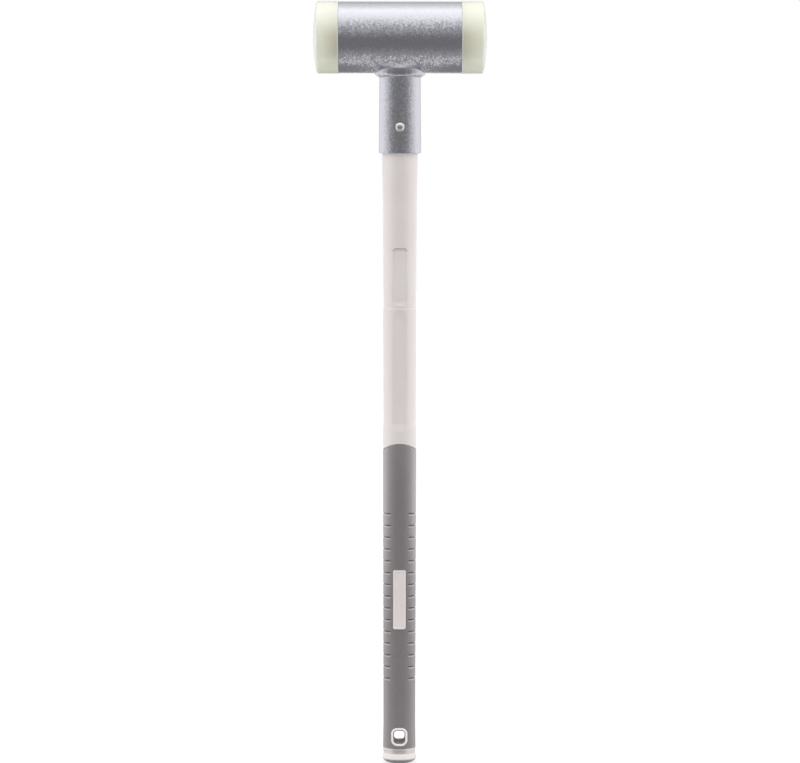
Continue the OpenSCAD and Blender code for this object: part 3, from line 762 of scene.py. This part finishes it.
def curve(add, value, points):
    """A value carried along straight lines between (input, output) points, inputs from 0 to 1."""
    node = add("ShaderNodeFloatCurve", {"Value": value})
    line = node.mapping.curves[0].points
    for k, (at, out) in enumerate(points):
        dot = line[k] if k < 2 else line.new(at, out)
        dot.location = (at, out)
        dot.handle_type = "VECTOR"
    node.mapping.update()
    return node.outputs[0]


# %% Fine grain and slow blotches
FLOAT, VECTOR = "NodeSocketFloat", "NodeSocketVector"
grain, add, given, put = group("fine_grain", [("Place", VECTOR), ("Grains per metre", FLOAT)],
                               [("Height", FLOAT), ("Fleck", FLOAT)])
soft = add("ShaderNodeTexNoise", {"Vector": given["Place"], "Scale": given["Grains per metre"], "Detail": 2.0,
                                  "Roughness": 0.6})
fleck = add("ShaderNodeTexVoronoi", {"Vector": given["Place"], "Scale": given["Grains per metre"]})
tone = add("ShaderNodeSeparateColor", {"Color": fleck.outputs["Color"]})
grain.links.new(soft.outputs["Fac"], put.inputs["Height"])
grain.links.new(tone.outputs["Red"], put.inputs["Fleck"])

blotch, add, given, put = group("slow_blotches", [("Place", VECTOR), ("Blotches per metre", FLOAT)],
                                [("Blotch", FLOAT)])
slow = add("ShaderNodeTexNoise", {"Vector": given["Place"], "Scale": given["Blotches per metre"], "Detail": 3.0})
blotch.links.new(ramp(add, slow.outputs["Fac"], 0.3, 0.7), put.inputs["Blotch"])
print("groups:", grain.name, blotch.name)

# %% Flakes and narrow sides
flakes, add, given, put = group("paint_flakes", [("Place", VECTOR), ("Flakes per metre", FLOAT), ("Tilt", FLOAT)],
                                [("Normal", VECTOR)])
cell = add("ShaderNodeTexVoronoi", {"Vector": given["Place"], "Scale": given["Flakes per metre"]})
lean = add("ShaderNodeVectorMath", {0: cell.outputs["Color"], 1: (0.5, 0.5, 0.5)}, operation="SUBTRACT")
lean = add("ShaderNodeVectorMath", {0: lean.outputs[0], "Scale": given["Tilt"]}, operation="SCALE")
upright = add("ShaderNodeNewGeometry").outputs["Normal"]
lean = add("ShaderNodeVectorMath", {0: upright, 1: lean.outputs[0]}, operation="ADD")
lean = add("ShaderNodeVectorMath", {0: lean.outputs[0]}, operation="NORMALIZE")
flakes.links.new(lean.outputs[0], put.inputs["Normal"])

# 0 where the surface looks straight to the front or the back and 1 where it looks to a side: one minus |y| of the
# normal, whose tilt up or down is taken out first
sides, add, given, put = group("narrow_sides", [("Normal", VECTOR)], [("Sideways", FLOAT)])
flat = add("ShaderNodeVectorMath", {0: given["Normal"], 1: (1, 1, 0)}, operation="MULTIPLY")
flat = add("ShaderNodeVectorMath", {0: flat.outputs[0]}, operation="NORMALIZE")
across = add("ShaderNodeSeparateXYZ", {"Vector": flat.outputs[0]}).outputs["Y"]
sides.links.new(maths(add, "SUBTRACT", 1.0, maths(add, "ABSOLUTE", across)), put.inputs["Sideways"])
print("groups:", flakes.name, sides.name)


# %% A new finish
def finish(name):
    """A material with its shader, the place of each point on the object, and both shared effects at hand."""
    material = bpy.data.materials.new(name)
    material.use_nodes = True
    add = builder(material.node_tree)
    place = add("ShaderNodeTexCoord").outputs["Object"]

    def grained(per_metre):
        return add("ShaderNodeGroup", {"Place": place, "Grains per metre": per_metre}, node_tree=grain).outputs

    def blotched(per_metre):
        node = add("ShaderNodeGroup", {"Place": place, "Blotches per metre": per_metre}, node_tree=blotch)
        return node.outputs["Blotch"]

    return material, add, place, grained, blotched, material.node_tree.nodes["Principled BSDF"]


def bumped(add, height, strength, distance):
    """A normal that a height moves."""
    return add("ShaderNodeBump", {"Height": height, "Strength": strength, "Distance": distance}).outputs["Normal"]


def sideways(add):
    """The mask of the narrow sides, from the piece's own normal."""
    own = add("ShaderNodeTexCoord").outputs["Normal"]
    return add("ShaderNodeGroup", {"Normal": own}, node_tree=sides).outputs["Sideways"]


def fill(material, shader, **sockets):
    """Links or sets the shader's sockets; an underscore in a name stands for a space."""
    for label, value in sockets.items():
        socket = shader.inputs[label.replace("_", " ")]
        if isinstance(value, bpy.types.NodeSocket):
            material.node_tree.links.new(value, socket)
        else:
            socket.default_value = value
    print(f"{material.name}: {len(material.node_tree.nodes)} nodes")


# %% [markdown]
# ## Silver paint
# The steel is painted in a silver grey with a fine hammered grain: metal flake under a slightly lumpy skin. Flakes
# of millimetre size lean a few degrees and break the reflections into sparkle. The spray lay rougher in some bands
# along the tube, so the flakes' lean follows a curve over its height. Only the normal and the roughness carry all
# this, and the colour hardly changes.

# %% Silver paint
SPRAY_Z = (0.771, 0.851)
SPRAY_TILT = [(0.0, 0.14), (0.05, 0.06), (0.10, 0.08), (0.135, 0.24), (0.165, 0.38), (0.215, 0.38),
              (0.26, 0.14), (0.5, 0.12), (0.60, 0.21), (0.67, 0.24), (0.74, 0.13), (0.82, 0.05), (1.0, 0.04)]
FLAKES_PER_M = 640.0
SILVER_DARK, SILVER_LIGHT = (0.60, 0.60, 0.652), (0.63, 0.63, 0.683)

silver_paint, add, place, grained, blotched, shader = finish("silver_paint")
lumps = grained(520)
up_tube = ramp(add, add("ShaderNodeSeparateXYZ", {"Vector": place}).outputs["Z"], *SPRAY_Z)
flake = add("ShaderNodeGroup", {"Place": place, "Flakes per metre": FLAKES_PER_M,
                                "Tilt": curve(add, up_tube, SPRAY_TILT)}, node_tree=flakes)
skin_bump = add("ShaderNodeBump", {"Height": lumps["Height"], "Normal": flake.outputs["Normal"], "Strength": 1.0,
                                   "Distance": 0.00012})
fill(silver_paint, shader, Base_Color=between(add, lumps["Fleck"], SILVER_DARK, SILVER_LIGHT),
     Roughness=spread(add, blotched(90), 0.12, 0.17), Metallic=1.0, Normal=skin_bump.outputs["Normal"])

# %% [markdown]
# ## Ivory striking plastic
# The faces are a tough, faintly translucent plastic. Their tint carries painted shade beside the tube, where the
# steel inside the head swallows the light, most of all a little below the middle, and painted light towards the face.
# The distance from the tube's end along X and the height drive that tint. A painted highlight lights the thin lip
# against the tube, subsurface scattering softens the rest, and a clear coat stands for the glossy skin that the mould
# left.

# %% Ivory striking plastic
PAINTED_LIGHT_X, LIP_HIGHLIGHT_SPAN = (0.066, 0.090), (0.0687, 0.0691)
PAINTED_SHADE_Z, PAINTED_SHADE_REACH = 0.802, (0.006, 0.028)
IVORY, IVORY_PAINTED_SHADE, IVORY_PAINTED_LIGHT, IVORY_LIP_HIGHLIGHT = ((0.86, 0.87, 0.71), (0.65, 0.62, 0.48), (0.915, 0.925, 0.785),
                                             (0.92, 0.93, 0.85))

ivory_plastic, add, place, grained, blotched, shader = finish("ivory_plastic")
along = add("ShaderNodeSeparateXYZ", {"Vector": place}).outputs
reach = maths(add, "ABSOLUTE", along["X"])
# painted light: the tint clears towards the face
clear = ramp(add, reach, *PAINTED_LIGHT_X, kind="SMOOTHSTEP")
cloud = spread(add, blotched(60), -0.08, 0.08)
face_light = add("ShaderNodeMath", {0: clear, 1: cloud}, operation="ADD", use_clamp=True).outputs[0]
# painted shade: the tint dulls beside the tube, most of all a little below the middle
off_axis = maths(add, "ABSOLUTE", maths(add, "SUBTRACT", along["Z"], PAINTED_SHADE_Z))
deep = ramp(add, off_axis, *PAINTED_SHADE_REACH, 1.0, 0.0, "SMOOTHSTEP")
tint = between(add, face_light, between(add, deep, IVORY, IVORY_PAINTED_SHADE), IVORY_PAINTED_LIGHT)
# painted highlight on the thin lip against the tube
tint = between(add, ramp(add, reach, *LIP_HIGHLIGHT_SPAN, 1.0, 0.0), tint, IVORY_LIP_HIGHLIGHT)
fill(ivory_plastic, shader, Base_Color=tint, Specular_IOR_Level=0.9,
     Roughness=spread(add, blotched(140), 0.14, 0.20), Subsurface_Weight=0.35, Subsurface_Radius=(1.0, 1.0, 0.8),
     Subsurface_Scale=0.010, Normal=bumped(add, grained(900)["Height"], 0.08, 0.0001),
     Coat_Weight=0.8, Coat_Roughness=0.05)

# %% [markdown]
# ## Pale handle plastic
# The sleeve, its butt, the plate and the hole frames are one satin plastic in a warm, pinkish beige. It lets a
# little light in, which evens out its shading, and its mould left a very fine texture. Painted light makes its narrow
# sides, the butt's flank and the hole frames paler. Painted shade darkens its foot and the band below the grip's
# edge, less of it at the lit sides. All these marks are masks over the height or the sides.

# %% Pale handle plastic
BEIGE_DARK, BEIGE_LIGHT = (0.85, 0.78, 0.755), (0.90, 0.835, 0.815)
BEIGE_PAINTED_LIGHT, HANDLE_PAINTED_SHADE = (0.96, 0.905, 0.895), (0.10, 0.09, 0.09)
LIT_SIDES = (0.01, 0.12, 0.0, 0.5)
LIT_BUTT, FRAMES_TOP, FRAMES_FOOT = (0.0114, 0.0110, 0.0, 0.8), (0.046, 0.045, 0.0, 0.8), (0.0180, 0.0184)
SHADED_FOOT, BAND_TOP, BAND_FOOT = (0.0058, 0.0042, 0.0, 0.75), (0.0176, 0.0172), (0.0112, 0.0118, 0.0, 0.48)

pale_plastic, add, place, grained, blotched, shader = finish("pale_plastic")
mould = grained(1500)
height = add("ShaderNodeSeparateXYZ", {"Vector": place}).outputs["Z"]
# painted light: the narrow sides are made paler
side_light = ramp(add, sideways(add), *LIT_SIDES)
# painted light: the hole frames and the butt's flank are made paler
framed = maths(add, "MULTIPLY", ramp(add, height, *FRAMES_TOP), ramp(add, height, *FRAMES_FOOT))
low_light = maths(add, "MAXIMUM", ramp(add, height, *LIT_BUTT), framed)
satin = between(add, blotched(22), BEIGE_DARK, BEIGE_LIGHT)
satin = between(add, maths(add, "MAXIMUM", side_light, low_light), satin, BEIGE_PAINTED_LIGHT)
# painted shade: the band below the grip's edge is darker, less of it at the lit sides
band = maths(add, "MULTIPLY", ramp(add, height, *BAND_TOP), ramp(add, height, *BAND_FOOT))
band = maths(add, "MULTIPLY", band, ramp(add, side_light, 0.0, 0.4, 1.0, 0.3))
# painted shade: the foot is darker
painted_shade = maths(add, "MAXIMUM", ramp(add, height, *SHADED_FOOT), band)
fill(pale_plastic, shader, Base_Color=between(add, painted_shade, satin, HANDLE_PAINTED_SHADE),
     Roughness=spread(add, mould["Fleck"], 0.30, 0.38), Subsurface_Weight=0.15, Subsurface_Radius=(1.0, 0.9, 0.85),
     Subsurface_Scale=0.002, Normal=bumped(add, mould["Height"], 0.10, 0.0001))

# %% [markdown]
# ## Grey grip rubber
# The soft grip is a matte thermoplastic rubber with a fine, dry texture and a soft sheen. A painted sheen lightens
# its sides, more of it higher up. Hands leave it a little smoother in places, so the roughness wanders; painted shade
# darkens the depth of the grooves and of the hole, and a painted highlight lightens the lips. Towards the arch its
# tone lightens with painted light.

# %% Grey grip rubber
GREY_DARK, GREY_LIGHT, GREY_ARCH_LIGHT = (0.202, 0.185, 0.190), (0.232, 0.212, 0.220), (0.32, 0.295, 0.295)
GREY_PAINTED_SHEEN, GRIP_LIP_HIGHLIGHT, GROOVE_SHADE = (0.50, 0.462, 0.468), (0.63, 0.585, 0.585), (0.06, 0.053, 0.053)
GRIP_TOP_M = 0.361
ARCH_LIGHT_LEVELS = [(0.0, 0.0), (0.5, 0.0), (0.88, 0.22), (1.0, 0.5)]
SHEEN_LEVELS = [(0.0, 0.5), (0.5, 0.5), (0.85, 1.0), (1.0, 1.0)]

grip_rubber, add, place, grained, blotched, shader = finish("grip_rubber")
dry = grained(1100)
up = ramp(add, add("ShaderNodeSeparateXYZ", {"Vector": place}).outputs["Z"], 0.0, GRIP_TOP_M)
rubber = between(add, dry["Fleck"], GREY_DARK, GREY_LIGHT)
# painted light: the tone lightens towards the arch
rubber = between(add, curve(add, up, ARCH_LIGHT_LEVELS), rubber, GREY_ARCH_LIGHT)
# painted sheen: the sides lighten, more of it higher up
painted_sheen = maths(add, "MULTIPLY", ramp(add, sideways(add), 0.01, 0.37), curve(add, up, SHEEN_LEVELS))
rubber = between(add, painted_sheen, rubber, GREY_PAINTED_SHEEN)
lit_lip, hollow_shade = (add("ShaderNodeAttribute", attribute_name=label).outputs["Fac"] for label in ("lit_lip", "hollow_shade"))
# painted highlight on the groove lips
rubber = between(add, lit_lip, rubber, GRIP_LIP_HIGHLIGHT)
# painted shade in the depth of the grooves and of the hole
rubber = between(add, ramp(add, hollow_shade, 0.5, 0.9, 0.0, 0.8), rubber, GROOVE_SHADE)
fill(grip_rubber, shader, Base_Color=rubber, Roughness=spread(add, blotched(45), 0.46, 0.56),
     Sheen_Weight=0.45, Sheen_Roughness=0.35, Normal=bumped(add, dry["Height"], 0.25, 0.00015))

# %% [markdown]
# ## Bright steel and the glass fibre rod
# The rivet is plain bright steel, a little uneven in tone and gloss. The shot, the discs and the rod stay hidden
# inside, as their CAD solids, but they are real pieces and get finishes of their own. The rod's strands are noise
# that is stretched along the handle.

# %% Bright steel and glass fibre
STEEL_DARK, STEEL_LIGHT = (0.66, 0.66, 0.67), (0.78, 0.78, 0.79)
ROD_DARK, ROD_LIGHT, STRANDS_PER_M = (0.42, 0.31, 0.10), (0.66, 0.56, 0.30), (900, 900, 6)

bright_steel, add, place, grained, blotched, shader = finish("bright_steel")
fill(bright_steel, shader, Base_Color=between(add, blotched(180), STEEL_DARK, STEEL_LIGHT),
     Roughness=spread(add, grained(1600)["Fleck"], 0.05, 0.10), Metallic=1.0)

glass_rod, add, place, grained, blotched, shader = finish("glass_rod")
long_way = add("ShaderNodeMapping", {"Vector": place, "Scale": STRANDS_PER_M}).outputs["Vector"]
strands = add("ShaderNodeTexNoise", {"Vector": long_way, "Scale": 1.0, "Detail": 4.0}).outputs["Fac"]
fill(glass_rod, shader, Base_Color=between(add, strands, ROD_DARK, ROD_LIGHT),
     Roughness=spread(add, strands, 0.30, 0.50))

# %% [markdown]
# ## Dress the frame
# Each new piece stands for the CAD node whose place it has, gets its finish, and rides on the hammer's body. The
# hidden nodes keep their CAD meshes and only get their finish.

# %% Dress the frame
DRESS = [
    (head_tube, "head_tube", "painted_steel", silver_paint),
    (neck_socket, "neck_socket", "painted_steel", silver_paint),
    (weld_collar, "weld_collar", "painted_steel", silver_paint),
    (left_insert, "left_insert", "striking_plastic", ivory_plastic),
    (right_insert, "right_insert", "striking_plastic", ivory_plastic),
    (handle_rivet, "handle_rivet", "bare_steel", bright_steel),
    (handle_sleeve, "handle_sleeve", "handle_plastic", pale_plastic),
    (soft_grip, "soft_grip", "grip_rubber", grip_rubber),
    (hole_lining, "soft_grip", "grip_rubber", grip_rubber),
    (eyelet_front, "eyelet_front", "handle_plastic", pale_plastic),
    (eyelet_rear, "eyelet_rear", "handle_plastic", pale_plastic),
    (grip_badge, "grip_badge", "handle_plastic", pale_plastic),
    (butt_cap, "butt_cap", "handle_plastic", pale_plastic),
]
for made, node, slot, material in DRESS:
    made.data.materials.append(material)
    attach(made, "hammer")
    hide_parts(node)

INSIDE = {"steel_shot": bright_steel, "left_chamber_disc": bright_steel, "right_chamber_disc": bright_steel,
          "fibreglass_core": glass_rod}
for node, material in INSIDE.items():
    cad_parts[node].data.materials.clear()
    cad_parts[node].data.materials.append(material)
print("dressed:", len(DRESS), "pieces and", len(INSIDE), "hidden nodes")

# %% [markdown]
# ## Floor
# The hammer stands on a pale floor that the camera sees nearly white, with a soft shadow of the butt. What bounces
# off it and what is mirrored in the paint are set apart with the Light Path node. Soft light bounces from a pale
# grey with a painted shadow right under the butt, which darkens the butt's foot. Reflections see a pool of light that
# is brightest a little in front of the hammer and fades to its rear, with a lighter strip along its middle and plain
# white further away. These levels were fitted to the tones that the photograph shows on the head and the neck.

# %% Floor: plane
FLOOR_FRONT, FLOOR_BACK, FLOOR_SIDE = -0.40, 9.0, 6.0
floor_mesh = bpy.data.meshes.new("studio_floor")
floor_mesh.from_pydata([(-FLOOR_SIDE, FLOOR_FRONT, 0), (FLOOR_SIDE, FLOOR_FRONT, 0), (FLOOR_SIDE, FLOOR_BACK, 0),
                        (-FLOOR_SIDE, FLOOR_BACK, 0)], [], [(0, 1, 2, 3)])
floor = bpy.data.objects.new("studio_floor", floor_mesh)
bpy.context.scene.collection.objects.link(floor)
floor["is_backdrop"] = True
print("floor from y", FLOOR_FRONT, "to", FLOOR_BACK)

# %% Floor: finish
POOL_Y = (-0.4, 0.3)
POOL_LEVELS = [(0.0, 0.40), (0.1, 0.40), (0.143, 0.39), (0.203, 0.58), (0.263, 0.82), (0.331, 0.80), (0.426, 0.57),
               (0.571, 0.42), (0.777, 0.35), (1.0, 0.29)]
STRIP_X, POOL_OVAL, POOL_EDGE = (0.02, 0.06, 0.75, 0.0), (1, 0.25, 0), (0.3, 0.9)
BUTT_ROUND, FLOOR_PAINTED_SHADOW, FLOOR_OPEN = (0.012, 0.020), (0.20, 0.20, 0.20), (0.80, 0.80, 0.80)
SHADOW_GREY, FLOOR_GLOW, WHITE = (0.34, 0.34, 0.34, 1), 0.72, (1, 1, 1, 1)

floor_paint = bpy.data.materials.new("studio_floor")
floor_paint.use_nodes = True
floor_paint.node_tree.nodes.clear()
add = builder(floor_paint.node_tree)
path = add("ShaderNodeLightPath").outputs
spot = add("ShaderNodeTexCoord").outputs["Object"]
spot_xyz = add("ShaderNodeSeparateXYZ", {"Vector": spot}).outputs
pool = curve(add, ramp(add, spot_xyz["Y"], *POOL_Y), POOL_LEVELS)
strip = ramp(add, maths(add, "ABSOLUTE", spot_xyz["X"]), *STRIP_X, "SMOOTHSTEP")
pool = towards(add, strip, pool, 1.0)
away = add("ShaderNodeVectorMath", {0: spot, 1: POOL_OVAL}, operation="MULTIPLY").outputs[0]
away = add("ShaderNodeVectorMath", {0: away}, operation="LENGTH").outputs["Value"]
pool = towards(add, ramp(add, away, *POOL_EDGE), pool, 1.0)
from_butt = add("ShaderNodeVectorMath", {0: spot}, operation="LENGTH").outputs["Value"]
# painted shadow: the floor's bounce colour is dark right under the butt
ground = between(add, ramp(add, from_butt, *BUTT_ROUND, kind="SMOOTHSTEP"), FLOOR_PAINTED_SHADOW, FLOOR_OPEN)
plain = add("ShaderNodeBsdfDiffuse", {"Color": ground})
shade = add("ShaderNodeBsdfDiffuse", {"Color": SHADOW_GREY})
glow = add("ShaderNodeEmission", {"Color": WHITE, "Strength": FLOOR_GLOW})
lit = add("ShaderNodeAddShader", {0: shade.outputs[0], 1: glow.outputs[0]})
shine = add("ShaderNodeEmission", {"Color": WHITE, "Strength": pool})
seen = maths(add, "MAXIMUM", path["Is Camera Ray"], path["Is Transmission Ray"])
mixed = add("ShaderNodeMixShader", {0: seen, 1: plain.outputs[0], 2: lit.outputs[0]})
mixed = add("ShaderNodeMixShader", {0: path["Is Glossy Ray"], 1: mixed.outputs[0], 2: shine.outputs[0]})
add("ShaderNodeOutputMaterial", {"Surface": mixed.outputs[0]})
floor_mesh.materials.append(floor_paint)
print("floor finish:", len(floor_paint.node_tree.nodes), "nodes")

# %% [markdown]
# ## Studio light
# The picture has a white studio all round: bright from above and from both sides, darker from where the camera
# stands. It could be built from many lamps, but a world that depends on the direction alone is smoother. It is
# white to the camera. Soft light and reflections each have a ring of levels from the front over the sides to the
# rear, with light from above added at the front. Soft light is weaker straight above, and in reflections the upper
# rear and the space below are dimmer. These levels, too, were fitted to the photograph. One weak lamp overhead, which
# neither the camera nor reflections see, rounds off the tops.

# %% World
SOFT_LEVELS = [(0.0, 0.36), (0.1, 0.42), (0.215, 0.76), (0.34, 1.25), (0.44, 1.65), (0.52, 1.5), (0.62, 0.85),
               (1.0, 0.5)]
SHINE_LEVELS = [(0.0, 0.23), (0.1, 0.29), (0.215, 0.49), (0.37, 0.78), (0.57, 1.06), (0.75, 1.15), (0.88, 1.05),
                (1.0, 0.80)]
TOP_LEVELS = [(0.0, 0.0), (0.38, 0.205), (0.54, 0.30), (0.68, 0.42), (0.805, 0.545), (0.905, 0.61), (1.0, 0.54)]
REAR_DIM = [(0.0, 0.0), (0.15, 0.03), (0.3, 0.1), (0.45, 0.17), (0.6, 0.2), (0.66, 0.24), (0.77, 0.5), (0.9, 0.75),
            (1.0, 0.8)]
LOPSIDED, LOW_DIM, TOP_DIM, TOP_POWER, TOP_SOFT, TOP_ENDS = 0.015, -0.3, 0.35, 3.0, 0.9, (0.6, 0.0)

world = bpy.data.worlds.new("studio")
bpy.context.scene.world = world
world.use_nodes = True
world.node_tree.nodes.clear()
add = builder(world.node_tree)


def plus(a, b):
    """The sum of two values."""
    return maths(add, "ADD", a, b)


def times(a, b):
    """The product of two values."""
    return maths(add, "MULTIPLY", a, b)


def ring_of(value, levels):
    """Levels up to 2 along a value from 0 to 1: the curve holds half of each, and the result is doubled."""
    return times(curve(add, value, [(at, out / 2) for at, out in levels]), 2.0)


way = add("ShaderNodeSeparateXYZ", {"Vector": add("ShaderNodeTexCoord").outputs["Generated"]}).outputs
path = add("ShaderNodeLightPath").outputs
rear = ramp(add, way["Y"], -1.0, 1.0)
above = maths(add, "MAXIMUM", way["Z"], 0.0)
from_top = times(curve(add, above, TOP_LEVELS), ramp(add, way["Y"], *TOP_ENDS, kind="SMOOTHSTEP"))
dim_rear = times(above, curve(add, maths(add, "MAXIMUM", way["Y"], 0.0), REAR_DIM))
dim_low = maths(add, "MAXIMUM", times(way["Z"], LOW_DIM), 0.0)
dimmed = maths(add, "SUBTRACT", 1.0, plus(dim_rear, dim_low))
dim_top = maths(add, "SUBTRACT", 1.0, times(maths(add, "POWER", above, TOP_POWER), TOP_DIM))
soft = plus(times(ring_of(rear, SOFT_LEVELS), dim_top), times(from_top, TOP_SOFT))
shine = plus(times(ring_of(plus(rear, times(way["X"], LOPSIDED)), SHINE_LEVELS), dimmed), from_top)
white = maths(add, "MAXIMUM", path["Is Camera Ray"], path["Is Transmission Ray"])
strength = towards(add, white, towards(add, path["Is Glossy Ray"], soft, shine), 1.0)
sky = add("ShaderNodeBackground", {"Color": WHITE, "Strength": strength})
add("ShaderNodeOutputWorld", {"Surface": sky.outputs[0]})
print("world:", len(world.node_tree.nodes), "nodes")


# %% Lamp
def soft_box(name, place, aim, size, watts):
    """An area lamp at a place, in metres, turned so that its face looks at aim: its Z axis points from aim to the
    lamp, X is the level direction across it, and Y completes the three."""
    data = bpy.data.lights.new(name, "AREA")
    data.shape = "RECTANGLE"
    data.size, data.size_y = size
    data.energy = watts
    lamp = bpy.data.objects.new(name, data)
    bpy.context.scene.collection.objects.link(lamp)
    z = np.subtract(place, aim) / np.linalg.norm(np.subtract(place, aim))
    x = np.array([1.0, 0, 0]) - z * z[0]
    x /= np.linalg.norm(x)
    lamp.matrix_world = np.vstack([np.column_stack([x, np.cross(z, x), z, place]), [0, 0, 0, 1]]).T.tolist()
    lamp.visible_camera = lamp.visible_glossy = False
    print(f"{name}: {watts} W at {place}")


soft_box("overhead_box", (0, -0.12, 2.75), (0, 0, 0.8), (2.6, 0.9), 2)

# %% [markdown]
# ## Camera
# The photograph looks straight at the front from 3.5 m away, a little from above. The lens and height below put the
# head, the rim and the hanging hole on the rows where the photograph has them, and a roll of a small part of a degree
# follows its slight lean.

# %% Camera
CAMERA_PLACE, CAMERA_TILT, CAMERA_ROLL, LENS = (0, -3.5, 0.7361), 85, -0.064, 141.9
camera_data = bpy.data.cameras.new("camera")
camera_data.sensor_width, camera_data.lens = 36.0, LENS
camera_data.sensor_fit = "HORIZONTAL"
camera = bpy.data.objects.new("camera", camera_data)
camera.location = CAMERA_PLACE
camera.rotation_euler = (np.radians(CAMERA_TILT), np.radians(CAMERA_ROLL), 0)
bpy.context.scene.collection.objects.link(camera)
bpy.context.scene.camera = camera
bpy.context.scene.view_settings.view_transform = "Standard"
print("camera at", CAMERA_PLACE, "with a lens of", LENS, "mm")

# %% [markdown]
# ## Sizes and finish
# The box round the dressed hammer is printed beside the box of the solids, so that a difference in size shows.

# %% Sizes
visual_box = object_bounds()
boxes = {"cad": [list(map(float, corner)) for corner in cad_box],
         "visual": [list(map(float, corner)) for corner in visual_box]}
print("CAD box", boxes["cad"], "visual box", boxes["visual"])
